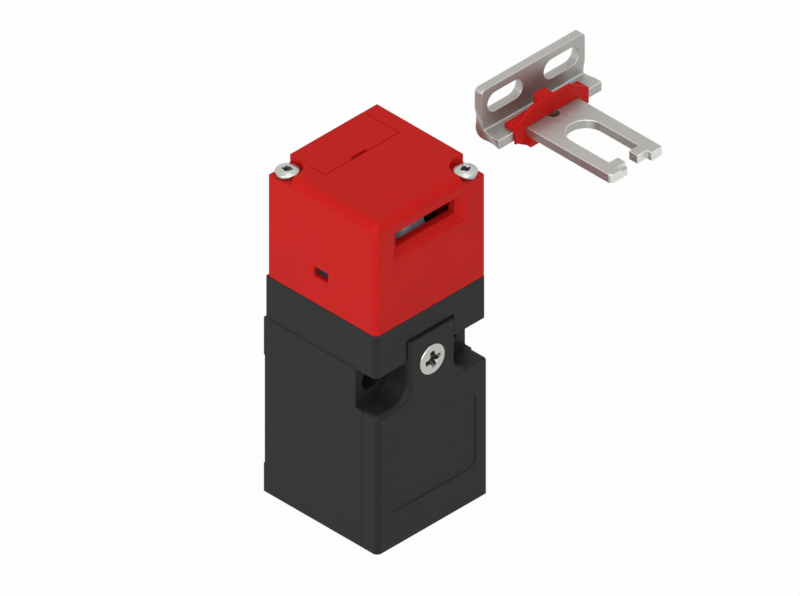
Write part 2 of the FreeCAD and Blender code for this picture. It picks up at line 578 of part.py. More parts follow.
def top_entry_cover():
    """The blanking cover of the top entry, with a pry notch and a plug that fills the slot."""
    gap = "Sizes.panel_gap"
    body = doc.addObject("PartDesign::Body", "top_entry_cover")
    doc.recompute()
    pad(body, "panel", "XY_Plane",
        rectangle((f"-Sizes.panel_left + {gap}", f"Sizes.panel_right - {gap}"),
                  (f"Sizes.panel_front + {gap}", "Sizes.head_half_depth")),
        f"{HEAD_TOP} - Sizes.panel_thickness", "Sizes.panel_thickness")
    low, high = top_slot_span()
    reach = f"Sizes.slot_width / 2 - {gap}"
    pad(body, "plug", "XY_Plane", rectangle((f"-({reach})", reach), (f"{low} + {gap}", f"{high} - {gap}")),
        f"{HEAD_TOP} - Sizes.panel_thickness - Sizes.plug_depth", "Sizes.plug_depth")
    pocket(body, "pry_notch", "XY_Plane",
           rectangle(("-Sizes.pry_left", "Sizes.pry_right"),
                     ("Sizes.panel_front", f"Sizes.panel_front + {gap} + Sizes.pry_depth")),
           f"{HEAD_TOP} - Sizes.panel_thickness / 2", "Sizes.panel_thickness")
    return body


def head_screws():
    """The two pan-head screws at opposite corners of the head."""
    pieces = []
    seat = f"{HEAD_TOP} - Sizes.corner_drop"
    for side, label in ((-1, "left"), (1, "right")):
        centre = (f"{side} * Sizes.head_screw_offset", f"{-side} * Sizes.head_screw_offset")
        shank = rod(f"head_screw_shank_{label}", "z", centre, (f"{seat} - Sizes.head_screw_length", seat),
                    "Sizes.head_screw_radius")
        rim = f"{seat} + Sizes.head_screw_head / 2"
        head = rod(f"head_screw_head_{label}", "z", centre, (seat, rim), "Sizes.head_screw_head_radius")
        dome = doc.addObject("Part::Cone", f"head_screw_dome_{label}")
        dome.setExpression("Radius1", "Sizes.head_screw_head_radius")
        dome.setExpression("Radius2", "Sizes.head_screw_head_radius * 0.6")
        dome.setExpression("Height", "Sizes.head_screw_head / 2")
        for axis, expression in zip("xyz", (*centre, rim)):
            dome.setExpression(f"Placement.Base.{axis}", expression)
        pieces.append(fuse(f"head_screw_{label}_whole", [shank, head, dome]))
    pair = doc.addObject("Part::Compound", "head_screws")
    pair.Links = pieces
    return pair


# ---------------------------------------------------------------- cam wheel


def cam_disc():
    """The middle plate of the cam wheel: a rim that meets the key and a spiral lobe for the plunger."""
    rim, lobe = size("Sizes.cam_radius"), size("Sizes.lobe_radius")
    low_lobe = size("Sizes.lobe_radius - Sizes.lobe_drop")
    turn = size("Sizes.cam_turn")
    half = size("Sizes.cam_thickness / 2")
    centre_z = size(CAM_Z)

    def at(radius, angle):
        # angle in degrees from straight down towards +Y
        radians = math.radians(angle)
        return FreeCAD.Vector(-half, radius * math.sin(radians), centre_z - radius * math.cos(radians))

    spiral = Part.BSplineCurve()
    spiral.interpolate([at(lobe - (lobe - low_lobe) * step / 8, turn * step / 8) for step in range(9)])
    rest, rise, front, back = turn + 30, turn + 36, -84, -100
    edges = [
        spiral.toShape(),
        Part.Arc(at(low_lobe, turn), at(low_lobe, (turn + rest) / 2), at(low_lobe, rest)).toShape(),
        Part.LineSegment(at(low_lobe, rest), at(rim, rise)).toShape(),
        Part.Arc(at(rim, rise), at(rim, (rise + back + 360) / 2), at(rim, back + 360)).toShape(),
        Part.LineSegment(at(rim, back), at(lobe, front)).toShape(),
        Part.Arc(at(lobe, front), at(lobe, front / 2), at(lobe, 0)).toShape(),
    ]
    plate = Part.Face(Part.Wire(edges)).extrude(FreeCAD.Vector(2 * half, 0, 0))
    reach = size("Sizes.drive_pin_reach")
    pin_at = at(reach, 180 + size("Sizes.drive_pin_angle"))
    along = FreeCAD.Vector(1, 0, 0)
    axle_hole = Part.makeCylinder(size("Sizes.axle_radius + Sizes.running_gap"), 2 * half, at(0, 0), along)
    pin_hole = Part.makeCylinder(size("Sizes.drive_pin_radius"), 2 * half, pin_at, along)
    disc = doc.addObject("Part::Feature", "cam_disc")
    disc.Shape = plate.cut(axle_hole).cut(pin_hole)
    return disc


def pin_centre():
    """The drive pin's centre line, as a (Y, Z) pair."""
    lean = "Sizes.drive_pin_angle * 1 deg"
    return (f"-Sizes.drive_pin_reach * sin({lean})", f"{CAM_Z} + Sizes.drive_pin_reach * cos({lean})")


def cam_side_discs():
    """The two steel discs beside the cam's middle plate, each with a half-round seat for the drive pin."""
    pieces = []
    for side, label in ((-1, "left"), (1, "right")):
        near, far = "Sizes.side_cam_inner", "Sizes.side_cam_outer"
        span = (near, far) if side > 0 else (f"-{far}", f"-{near}")
        disc = rod(f"side_disc_{label}", "x", ("0", CAM_Z), span, "Sizes.side_cam_radius")
        hole = rod(f"side_bore_{label}", "x", ("0", CAM_Z), span, "Sizes.axle_radius + Sizes.running_gap")
        seat = rod(f"side_seat_{label}", "x", pin_centre(), span, "Sizes.drive_pin_radius + Sizes.running_gap")
        pieces.append(cut(f"side_cam_{label}", disc, [hole, seat]))
    pair = doc.addObject("Part::Compound", "cam_side_discs")
    pair.Links = pieces
    return pair


def cam_carrier():
    """The plastic frame that holds the axle, with a snap nose in each of the head's side windows."""
    inner = "Sizes.cheek_inner"
    outer = f"({inner} + Sizes.cheek_thickness)"
    spans_y = ("-Sizes.cheek_front", "Sizes.cheek_back")
    top = f"{COLLAR_TOP} + Sizes.cheek_height"
    base = block("carrier_base", (f"-{outer}", outer), spans_y, (COLLAR_TOP, f"{COLLAR_TOP} + Sizes.carrier_base"))
    pieces = [base]
    gap = "Sizes.nose_gap"
    nose_y = (f"Sizes.window_centre - Sizes.window_width / 2 + {gap}",
              f"Sizes.window_centre + Sizes.window_width / 2 - {gap}")
    nose_z = (f"{COLLAR_TOP} + Sizes.window_low + {gap}",
              f"{COLLAR_TOP} + Sizes.window_low + Sizes.window_height - {gap}")
    for side, label in ((-1, "left"), (1, "right")):
        cheek_x = (inner, outer) if side > 0 else (f"-{outer}", f"-{inner}")
        nose_x = (inner, "Sizes.nose_reach") if side > 0 else ("-Sizes.nose_reach", f"-{inner}")
        pieces.append(block(f"cheek_{label}", cheek_x, spans_y, (COLLAR_TOP, top)))
        pieces.append(block(f"nose_{label}", nose_x, nose_y, nose_z))
    frame = fuse("carrier_frame", pieces)
    opening = rod("carrier_opening", "z", ("0", "0"), (COLLAR_TOP, f"{COLLAR_TOP} + Sizes.carrier_base"),
                  "Sizes.lip_radius + Sizes.slider_gap")
    axle_way = rod("axle_way", "x", ("0", CAM_Z), (f"-{outer}", outer), "Sizes.axle_radius")
    return cut("cam_carrier", frame, [opening, axle_way])


def cam_axle():
    """The steel axle across the carrier's cheeks."""
    outer = "(Sizes.cheek_inner + Sizes.cheek_thickness)"
    return rod("cam_axle", "x", ("0", CAM_Z), (f"-{outer}", outer), "Sizes.axle_radius")


def drive_pin():
    """The cross pin that the key's hooks push."""
    half = "Sizes.drive_pin_length / 2"
    return rod("drive_pin", "x", pin_centre(), (f"-{half}", half), "Sizes.drive_pin_radius")


# ---------------------------------------------------------------- plunger train

SHOULDER_LOW = "(Sizes.spring_pocket_floor + Sizes.spring_length)"
TIP = f"({CAM_Z} - Sizes.lobe_radius - Sizes.tip_gap)"


def plunger():
    """The plunger, held down by the cam's lobe while the key is out: a rod with a shoulder and a flat blade."""
    taper = f"{TIP} - Sizes.tip_taper"
    stem = rod("plunger_stem", "z", ("0", "0"), ("Sizes.chamber_top + Sizes.contact_gap * 3", taper),
               "Sizes.plunger_radius")
    half = "Sizes.blade_thickness / 2"
    point = doc.addObject("Part::Wedge", "plunger_point")
    spans = {"Xmin": f"-({half})", "Xmax": half, "X2min": f"-({half})", "X2max": half,
             "Ymin": "0", "Ymax": "Sizes.tip_taper",
             "Zmin": "-(Sizes.tip_root)", "Zmax": "Sizes.tip_root",
             "Z2min": "-Sizes.tip_radius", "Z2max": "Sizes.tip_radius"}
    for corner, expression in spans.items():
        point.setExpression(corner, expression)
    point.Placement.Rotation = FreeCAD.Rotation(FreeCAD.Vector(1, 0, 0), 90)
    point.setExpression("Placement.Base.z", taper)
    shoulder = rod("plunger_ring", "z", ("0", "0"), (SHOULDER_LOW, f"{SHOULDER_LOW} + Sizes.plunger_shoulder"),
                   "Sizes.shoulder_radius")
    whole = fuse("plunger_turned", [stem, point, shoulder])
    flats = []
    reach = "Sizes.plunger_radius + 0.5"
    for side, label in ((-1, "left"), (1, "right")):
        near = "Sizes.blade_thickness / 2"
        span = (near, reach) if side > 0 else (f"-({reach})", f"-({near})")
        flats.append(block(f"blade_flat_{label}", span, (f"-({reach})", reach),
                           (f"{TIP} - Sizes.blade_length", f"{TIP} + 1")))
    return cut("plunger", whole, flats)


def plunger_bush():
    """The guide bush pressed into the collar."""
    low = f"{COLLAR_TOP} - Sizes.bush_height"
    outer = rod("bush_outer", "z", ("0", "0"), (low, COLLAR_TOP), "Sizes.bush_radius")
    hole = rod("bush_hole", "z", ("0", "0"), (low, COLLAR_TOP), "Sizes.plunger_radius + Sizes.running_gap")
    return cut("plunger_bush", outer, [hole])


def plunger_seal():
    """The wiper seal that lies on the bush round the plunger."""
    high = f"{COLLAR_TOP} + Sizes.lip_height"
    outer = rod("lip_outer", "z", ("0", "0"), (COLLAR_TOP, high), "Sizes.lip_radius")
    hole = rod("lip_hole", "z", ("0", "0"), (COLLAR_TOP, high), "Sizes.plunger_radius + Sizes.running_gap")
    return cut("plunger_seal", outer, [hole])


def plunger_spring():
    """The spring that lifts the plunger's shoulder when the lobe lets it rise."""
    return spring("plunger_spring", size("Sizes.spring_radius"), size("Sizes.spring_wire"),
                  size("Sizes.spring_pocket_floor"), size(SHOULDER_LOW), 4)


# ---------------------------------------------------------------- contact block

LOWER_TOP = "(Sizes.lower_contact + Sizes.strip_thickness / 2)"
LOWER_BRIDGE = f"({LOWER_TOP} + Sizes.contact_gap)"
LOWER_SPRING = f"({LOWER_BRIDGE} + Sizes.strip_thickness)"
WEB_LOW = f"({LOWER_SPRING} + Sizes.contact_spring_length)"
UPPER_SPRING = f"({WEB_LOW} + Sizes.strip_thickness)"
UPPER_BRIDGE = f"({UPPER_SPRING} + Sizes.contact_spring_length)"
UPPER_BRIDGE_TOP = f"({UPPER_BRIDGE} + Sizes.strip_thickness)"
UPPER_CONTACT_LOW = f"({UPPER_BRIDGE_TOP} + Sizes.contact_travel + Sizes.contact_gap)"
UPPER_CONTACT = f"({UPPER_CONTACT_LOW} + Sizes.strip_thickness / 2)"
BLOCK_TOP = "(Sizes.chamber_top - Sizes.block_gap)"


def terminal_places():
    """Label, side and finger height of the four terminals."""
    return [(f"{row}_{column}", side, height)
            for row, height in (("lower", "Sizes.lower_contact"), ("upper", UPPER_CONTACT))
            for column, side in (("left", -1), ("right", 1))]


def terminal_span_x(side):
    """The X span of a terminal plate."""
    return (f"{side} * Sizes.terminal_offset - Sizes.terminal_width / 2",
            f"{side} * Sizes.terminal_offset + Sizes.terminal_width / 2")


def terminal_centre_z(label):
    """The height of a terminal's screw."""
    middle = f"(Sizes.lower_contact + {UPPER_CONTACT}) / 2"
    sign = "-" if label.startswith("lower") else "+"
    return f"({middle} {sign} Sizes.terminal_spread / 2)"


def finger_span_x(side):
    """The X span of a fixed contact's finger."""
    return (f"{side} * Sizes.terminal_offset - Sizes.finger_width / 2",
            f"{side} * Sizes.terminal_offset + Sizes.finger_width / 2")


def finger_span_z(height):
    """The height span of a fixed contact's finger."""
    return f"{height} - Sizes.strip_thickness / 2", f"{height} + Sizes.strip_thickness / 2"


def contact_block():
    """The contact block's case, with the pit in which the contacts move."""
    wide = "(Sizes.chamber_half_width - Sizes.block_gap)"
    case = block("block_case", (f"-{wide}", wide), ("-Sizes.block_front", CHAMBER_BACK),
                 ("Sizes.block_bottom", BLOCK_TOP))
    pit = block("block_pit", ("-Sizes.pit_half_width", "Sizes.pit_half_width"),
                ("-Sizes.pit_half_depth", "Sizes.pit_half_depth"), ("Sizes.pit_bottom", "Sizes.pit_top"))
    neck = rod("block_neck", "z", ("0", "0"), ("Sizes.pit_top", BLOCK_TOP),
               "Sizes.stem_radius + 2 * Sizes.slider_gap")
    tools = [pit, neck]
    for label, side, height in terminal_places():
        tools.append(block(f"finger_way_{label}", finger_span_x(side), ("-Sizes.block_front", "-Sizes.pit_half_depth"),
                           finger_span_z(height)))
    return cut("contact_block", case, tools)


def fixed_contacts():
    """Four brass strips: a screw plate on the block's face and a finger into the pit."""
    pieces = []
    for label, side, height in terminal_places():
        centre_z = terminal_centre_z(label)
        plate_y = ("-(Sizes.block_front + Sizes.strip_thickness)", "-Sizes.block_front")
        plate = block(f"terminal_plate_{label}", terminal_span_x(side), plate_y,
                      (f"{centre_z} - Sizes.terminal_height / 2", f"{centre_z} + Sizes.terminal_height / 2"))
        finger = block(f"finger_{label}", finger_span_x(side), (plate_y[0], "Sizes.finger_reach"),
                       finger_span_z(height))
        hole = rod(f"plate_hole_{label}", "y", (f"{side} * Sizes.terminal_offset", centre_z), plate_y,
                   "Sizes.terminal_screw_radius")
        pieces.append(cut(f"fixed_contact_{label}", fuse(f"strip_{label}", [plate, finger]), [hole]))
    group = doc.addObject("Part::Compound", "fixed_contacts")
    group.Links = pieces
    return group


def terminal_clamps():
    """The square washers under the terminal screws."""
    pieces = []
    high = "-(Sizes.block_front + Sizes.strip_thickness)"
    low = f"{high} - Sizes.clamp_thickness"
    for label, side, _ in terminal_places():
        centre_z = terminal_centre_z(label)
        half = "Sizes.terminal_width / 2"
        plate = block(f"clamp_plate_{label}", terminal_span_x(side), (low, high),
                      (f"{centre_z} - {half}", f"{centre_z} + {half}"))
        hole = rod(f"clamp_hole_{label}", "y", (f"{side} * Sizes.terminal_offset", centre_z), (low, high),
                   "Sizes.terminal_screw_radius")
        pieces.append(cut(f"clamp_{label}", plate, [hole]))
    group = doc.addObject("Part::Compound", "terminal_clamps")
    group.Links = pieces
    return group


def terminal_screws():
    """The four terminal screws."""
    pieces = []
    under = "-(Sizes.block_front + Sizes.strip_thickness + Sizes.clamp_thickness)"
    for label, side, _ in terminal_places():
        centre = (f"{side} * Sizes.terminal_offset", terminal_centre_z(label))
        head = rod(f"terminal_head_{label}", "y", centre, (f"{under} - Sizes.terminal_head", under),
                   "Sizes.terminal_head_radius")
        shank = rod(f"terminal_shank_{label}", "y", centre, (under, "-Sizes.block_front"),
                    "Sizes.terminal_screw_radius")
        pieces.append(fuse(f"terminal_screw_{label}", [head, shank]))
    group = doc.addObject("Part::Compound", "terminal_screws")
    group.Links = pieces
    return group


def contact_slider():
    """The sliding post that carries both bridges; its stem stands under the plunger."""
    half = "Sizes.post_half_width"
    depth = "(Sizes.pit_half_depth - Sizes.slider_gap)"
    floor = f"{LOWER_BRIDGE} - Sizes.strip_thickness"
    top = f"{UPPER_BRIDGE_TOP} + 2 * Sizes.strip_thickness"
    body = block("slider_post", (f"-{half}", half), (f"-{depth}", depth), (floor, top))
    stem = rod("slider_stem", "z", ("0", "0"), (top, "Sizes.chamber_top + Sizes.contact_gap * 3"),
               "Sizes.stem_radius")
    slot_y = ("-(Sizes.bridge_width / 2 + Sizes.slider_gap)", "Sizes.bridge_width / 2 + Sizes.slider_gap")
    lower = block("slider_lower_window", (f"-{half}", half), slot_y, (LOWER_BRIDGE, WEB_LOW))
    upper = block("slider_upper_window", (f"-{half}", half), slot_y, (UPPER_SPRING, UPPER_BRIDGE_TOP))
    return cut("contact_slider", fuse("slider_whole", [body, stem]), [lower, upper])


def contact_bridges():
    """The upper (closing with the key) and lower (opening with the key) contact bridges."""
    reach, half = "Sizes.bridge_half_length", "Sizes.bridge_width / 2"
    pieces = []
    for label, low in (("lower", LOWER_BRIDGE), ("upper", UPPER_BRIDGE)):
        pieces.append(block(f"bridge_{label}", (f"-{reach}", reach), (f"-{half}", half),
                            (low, f"{low} + Sizes.strip_thickness")))
    group = doc.addObject("Part::Compound", "contact_bridges")
    group.Links = pieces
    return group


def contact_springs():
    """The small springs that press each bridge against its stop in the slider."""
    coil, wire = size("Sizes.contact_spring_radius"), size("Sizes.contact_spring_wire")
    pieces = [
        spring("contact_spring_lower", coil, wire, size(LOWER_SPRING), size(WEB_LOW), 2),
        spring("contact_spring_upper", coil, wire, size(UPPER_SPRING), size(UPPER_BRIDGE), 2),
    ]
    group = doc.addObject("Part::Compound", "contact_springs")
    group.Links = pieces
    return group


# ---------------------------------------------------------------- key

KEY_LOW = f"({SLOT_MID} - Sizes.key_thickness / 2)"
KEY_HIGH = f"({SLOT_MID} + Sizes.key_thickness / 2)"
KEY_FLANGE = "-(Sizes.key_plate_front + Sizes.flange_depth)"
KEY_TIP = "-(Sizes.key_plate_front + Sizes.tongue_length)"


def key_x(offset):
    """An X position given from the key's centre line."""
    return f"(Sizes.key_offset + {offset})"


def key_plate():
    """The L-bent steel key: plate with two oblong holes, flange, and a tongue with a window and two hooks."""
    body = doc.addObject("PartDesign::Body", "key_blank")
    doc.recompute()
    back = "Sizes.key_thickness - Sizes.key_plate_front"
    section = [
        ("-Sizes.key_plate_front", KEY_HIGH), ("-Sizes.key_plate_front", f"{KEY_HIGH} + Sizes.key_rise"),
        (back, f"{KEY_HIGH} + Sizes.key_rise"), (back, KEY_LOW), (KEY_FLANGE, KEY_LOW), (KEY_FLANGE, KEY_HIGH),
    ]
    pad(body, "angle", "YZ_Plane", section, key_x("-Sizes.key_width / 2"), "Sizes.key_width")
    back_y, low_z = size(back), size(KEY_LOW)
    front_y, high_z = -size("Sizes.key_plate_front"), size(KEY_HIGH)
    round_edges(
        body, "outer_bend",
        lambda middle, line: abs(line.x) > 0.9 and abs(middle.y - back_y) < 0.01 and abs(middle.z - low_z) < 0.01,
        "Sizes.key_bend + Sizes.key_thickness",
    )
    round_edges(
        body, "inner_bend",
        lambda middle, line: abs(line.x) > 0.9 and abs(middle.y - front_y) < 0.01 and abs(middle.z - high_z) < 0.01,
        "Sizes.key_bend",
    )
    half = "Sizes.tongue_width / 2"
    blade = rectangle((key_x(f"-{half}"), key_x(half)), (KEY_TIP, f"{KEY_FLANGE} + 0.5"))
    pad(body, "tongue", "XY_Plane", blade, KEY_LOW, "Sizes.key_thickness")
    window = "Sizes.window_span / 2"
    hook_back = f"({KEY_TIP} + Sizes.hook_length)"
    window_front = f"(-Sizes.key_plate_front - Sizes.window_start - {window})"
    pocket(body, "tongue_window", "XY_Plane",
           rectangle((key_x(f"-{window}"), key_x(window)), (hook_back, window_front)), KEY_LOW, "Sizes.key_thickness")
    bore(body, "window_end", "XY_Plane", (key_x("0"), window_front), window, KEY_LOW, "Sizes.key_thickness")
    pocket(body, "mouth", "XY_Plane",
           rectangle((key_x(f"-{window} + Sizes.long_hook"), key_x(f"{window} - Sizes.short_hook")),
                     (f"{KEY_TIP} - 1", f"{hook_back} + 1")), KEY_LOW, "Sizes.key_thickness")
    pocket(body, "short_hook_step", "XY_Plane",
           rectangle((key_x(f"{window} - Sizes.short_hook - 0.5"), key_x(window)),
                     (f"{KEY_TIP} - 1", f"{KEY_TIP} + Sizes.hook_setback")), KEY_LOW, "Sizes.key_thickness")
    hole_z = f"({KEY_HIGH} + Sizes.key_hole_rise)"
    radius = "Sizes.key_hole_height / 2"
    straight = "(Sizes.key_hole_length - Sizes.key_hole_height) / 2"
    start, through = f"-({back})", "Sizes.key_thickness"
    for side, label in ((-1, "left"), (1, "right")):
        centre = f"{side} * Sizes.key_hole_spacing / 2"
        pocket(body, f"hole_{label}", "XZ_Plane",
               rectangle((key_x(f"{centre} - {straight}"), key_x(f"{centre} + {straight}")),
                         (f"{hole_z} - {radius}", f"{hole_z} + {radius}")), start, through)
        for end in (-1, 1):
            bore(body, f"hole_{label}_{'low' if end < 0 else 'high'}", "XZ_Plane",
                 (key_x(f"{centre} + {end} * {straight}"), hole_z), radius, start, through)
    front_of_guide = "-(Sizes.key_plate_front + Sizes.guide_front)"
    bore(body, "sight_hole", "XY_Plane", (key_x("0.1"), f"{front_of_guide} - 0.1"), "Sizes.sight_radius", KEY_LOW,
         "Sizes.key_thickness")
    step_x = (key_x(f"-{window}"), key_x(f"-{window} + Sizes.long_hook + 1"))
    pocket(body, "long_hook_step", "XY_Plane",
           rectangle(step_x, (f"{KEY_TIP} - 1", f"{KEY_TIP} + Sizes.hook_setback")),
           f"{KEY_HIGH} - Sizes.hook_step", "Sizes.hook_step")
    end_x = key_x(f"-{window} + Sizes.long_hook")
    cut_corner = [
        (f"{end_x} + 1", f"{KEY_TIP} + Sizes.hook_setback + 0.4"), (end_x, f"{KEY_TIP} + Sizes.hook_setback + 0.4"),
        (f"{end_x} - 0.9", KEY_TIP), (f"{end_x} - 0.9", f"{KEY_TIP} - 1"), (f"{end_x} + 1", f"{KEY_TIP} - 1"),
    ]
    pocket(body, "long_hook_corner", "XY_Plane", cut_corner, KEY_LOW, "Sizes.key_thickness")
    tip_y, top_z = size(KEY_TIP), size(f"{KEY_HIGH} + Sizes.key_rise")
    middle_x, half_tongue = size("Sizes.key_offset"), size(half)
    round_edges(
        body, "near_corners",
        lambda middle, line: (abs(line.z) > 0.9 and middle.y < tip_y + 0.01
                              and abs(middle.x - middle_x + half_tongue) < 0.01)
        or (abs(line.y) > 0.9 and abs(middle.z - top_z) < 0.01),
        "Sizes.key_corner",
    )
    round_edges(
        body, "far_tip",
        lambda middle, line: abs(line.z) > 0.9 and middle.y < tip_y + 0.01
        and abs(middle.x - middle_x - half_tongue) < 0.01,
        "Sizes.far_corner",
    )
    reliefs = []
    for side, label in ((-1, "left"), (1, "right")):
        scallop = doc.addObject("Part::Cylinder", f"bend_relief_{label}")
        scallop.Placement = FreeCAD.Placement(FreeCAD.Vector(), FreeCAD.Rotation(FreeCAD.Vector(1, 0, 0), 135))
        reach = "Sizes.key_width"
        scallop.setExpression("Radius", "Sizes.bend_relief_radius")
        scallop.setExpression("Height", reach)
        offset = f"{side} * (Sizes.key_width / 2 + Sizes.bend_relief_radius - Sizes.bend_relief)"
        scallop.setExpression("Placement.Base.x", key_x(offset))
        scallop.setExpression("Placement.Base.y", f"-Sizes.key_plate_front + {reach} / 2 * sin(45 deg)")
        scallop.setExpression("Placement.Base.z", f"{KEY_HIGH} + {reach} / 2 * cos(45 deg)")
        reliefs.append(scallop)
    return cut("key_plate", body, reliefs)


def key_guide():
    """The red guide clipped over the tongue's root: a ramped wall with a back rib, wings and a lip underneath."""
    fit = "Sizes.guide_fit"
    front, back = "-(Sizes.key_plate_front + Sizes.guide_front)", "-(Sizes.key_plate_front + Sizes.guide_back)"
    top_face, low_face = f"{KEY_HIGH} + {fit}", f"{KEY_LOW} - {fit}"
    reach, wing_top = "Sizes.guide_half_width", f"{KEY_HIGH} + Sizes.guide_wing"
    wing = (key_x(f"-{reach}"), key_x(reach))
    body = doc.addObject("PartDesign::Body", "key_guide")
    doc.recompute()
    pad(body, "wings", "XY_Plane", rectangle(wing, (front, back)), top_face, f"Sizes.guide_wing - {fit}")
    wall_top = f"{KEY_HIGH} + Sizes.guide_wall_top"
    wall_start = f"-({front}) - Sizes.guide_wall"
    wall = [
        (key_x(f"-({reach} - 0.2)"), top_face), (key_x(f"{reach} - 0.2"), top_face),
        (key_x(f"{reach} - 0.2"), wing_top), (key_x("Sizes.guide_wall_half"), wall_top),
        (key_x("-Sizes.guide_wall_half"), wall_top), (key_x(f"-({reach} - 0.2)"), wing_top),
    ]
    pad(body, "front_wall", "XZ_Plane", wall, wall_start, "Sizes.guide_wall")
    rib = (
        key_x("Sizes.guide_rib_shift - Sizes.guide_rib_half"),
        key_x("Sizes.guide_rib_shift + Sizes.guide_rib_half"),
    )
    pad(body, "back_rib", "XY_Plane", rectangle(rib, (front, back)), top_face, f"Sizes.guide_wall_top - {fit}")
    back_y, rib_x = size(back), size(key_x("Sizes.guide_rib_shift"))
    round_edges(
        body, "rib_edges",
        lambda middle, line: abs(line.z) > 0.9 and abs(middle.y - back_y) < 0.01
        and abs(middle.x - rib_x) < size("Sizes.guide_rib_half") + 0.01,
        "Sizes.guide_rib_half / 2",
    )
    skirt_back = f"{KEY_FLANGE} - {fit}"
    under = f"{KEY_LOW} - Sizes.guide_under"
    outer_low, inner = f"{KEY_LOW} - Sizes.guide_skirt", f"Sizes.tongue_width / 2 + {fit}"
    for side, label in ((-1, "left"), (1, "right")):
        skirt = [
            (key_x(f"{side} * ({inner})"), wing_top), (key_x(f"{side} * {reach}"), wing_top),
            (key_x(f"{side} * {reach}"), outer_low), (key_x(f"{side} * ({reach} - 0.5)"), outer_low),
            (key_x(f"{side} * ({inner})"), under),
        ]
        pad(body, f"skirt_{label}", "XZ_Plane", skirt, f"-({skirt_back})", f"{skirt_back} - ({front})")
    bar = (key_x(f"-({inner})"), key_x(inner))
    pad(body, "under_bar", "XY_Plane", rectangle(bar, (f"{front} - Sizes.guide_lip", back)), under,
        f"{low_face} - ({under})")
    return body


# ---------------------------------------------------------------- assembly

MAKERS = [
    body_housing, front_cover, cover_screw, head_housing, top_entry_cover, head_screws,
    cam_disc, cam_side_discs, cam_carrier, cam_axle, drive_pin,
    plunger, plunger_bush, plunger_seal, plunger_spring,
    contact_block, fixed_contacts, terminal_clamps, terminal_screws, contact_slider, contact_bridges,
    contact_springs, key_plate, key_guide,
]
parts = {maker.__name__: maker() for maker in MAKERS}
parts["cover_seal"] = seal_ring("cover_seal", "XZ_Plane", cover_seal_spans(),
                                "Sizes.cover_joint - Sizes.seal_thickness", "Sizes.seal_thickness + Sizes.seam")
parts["head_seal"] = seal_ring("head_seal", "XY_Plane", head_seal_spans(), f"{COLLAR_TOP} - Sizes.seal_thickness",
                               "Sizes.seal_thickness")
doc.recompute()

for name, piece in parts.items():
    piece.Label = name
for item in doc.Objects:
    if "Invalid" in item.State or "Error" in item.State:
        raise ValueError(f"{item.Name} did not compute: {item.State}")
for name, piece in parts.items():
    if piece.Shape.isNull() or not piece.Shape.isValid():
        raise ValueError(f"{name} has no valid shape")

os.makedirs("parts", exist_ok=True)
for name, piece in parts.items():
    piece.Shape.exportStep(f"parts/{name}.step")
    print(f"{name}: {len(piece.Shape.Solids)} solid(s), {piece.Shape.Volume:.1f} mm3")
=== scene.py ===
"""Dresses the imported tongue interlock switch: housings, screws, cam wheel, contacts and the loose key.

Every length is in metres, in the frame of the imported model: Z up the plunger's axis, -Y out of the key slot,
+X across the front towards the loose key.
"""

import json
import logging
import math
from dataclasses import dataclass, field
from enum import Enum

import bmesh
import bpy
import numpy as np
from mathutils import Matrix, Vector

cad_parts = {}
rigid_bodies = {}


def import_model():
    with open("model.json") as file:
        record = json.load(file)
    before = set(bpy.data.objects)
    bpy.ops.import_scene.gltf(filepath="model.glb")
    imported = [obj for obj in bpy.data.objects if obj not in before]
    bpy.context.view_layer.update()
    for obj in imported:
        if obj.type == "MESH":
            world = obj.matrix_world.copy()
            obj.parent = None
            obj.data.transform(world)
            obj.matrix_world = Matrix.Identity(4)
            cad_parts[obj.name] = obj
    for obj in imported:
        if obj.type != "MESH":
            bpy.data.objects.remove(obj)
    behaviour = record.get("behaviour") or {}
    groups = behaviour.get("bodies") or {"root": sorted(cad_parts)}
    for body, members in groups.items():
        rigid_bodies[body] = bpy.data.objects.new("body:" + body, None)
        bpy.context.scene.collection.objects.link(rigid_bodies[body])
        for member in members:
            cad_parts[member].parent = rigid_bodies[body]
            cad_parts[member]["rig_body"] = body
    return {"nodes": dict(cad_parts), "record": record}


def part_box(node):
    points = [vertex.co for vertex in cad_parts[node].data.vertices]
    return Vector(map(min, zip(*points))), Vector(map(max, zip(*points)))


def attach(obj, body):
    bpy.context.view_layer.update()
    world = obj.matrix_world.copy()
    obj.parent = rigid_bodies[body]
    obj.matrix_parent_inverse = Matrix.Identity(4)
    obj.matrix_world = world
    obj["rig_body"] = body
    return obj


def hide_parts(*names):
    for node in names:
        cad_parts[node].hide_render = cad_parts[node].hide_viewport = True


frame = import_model()

LOG = logging.getLogger("interlock")
MM = 0.001
# The mesh attribute of painted light: painted shade in the screws' recesses, painted highlights on the key's
# sheet.
PAINTED_LIGHT = "shade"
WHITE = (1.0, 1.0, 1.0, 1.0)

# The Mix node's sockets for colours, by number, because its other kinds have sockets of the same names.
MIX_FACTOR, MIX_FIRST, MIX_SECOND, MIX_RESULT = 0, 6, 7, 2

Triple = tuple[float, float, float]
Socket = bpy.types.NodeSocket


class Body(Enum):
    """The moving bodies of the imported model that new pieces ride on."""

    HOUSING = "switch_housing"
    COVER = "front_cover_body"
    CONTACTS = "contact_body"


class Slot(Enum):
    """The record's material slots that new pieces take their finish from."""

    BLACK = "black_plastic"
    RED = "red_plastic"
    WHITE = "white_plastic"
    BLOCK = "block_plastic"
    SCREW = "screw_steel"
    KEY = "key_steel"
    CAM = "cam_steel"
    SPRING = "spring_steel"
    BRASS = "contact_brass"
    RUBBER = "seal_rubber"


class Drive(Enum):
    """The recess in a screw's head."""

    CROSS = "cross"
    SLOTTED = "slotted"


# ---------------------------------------------------------------- node graphs


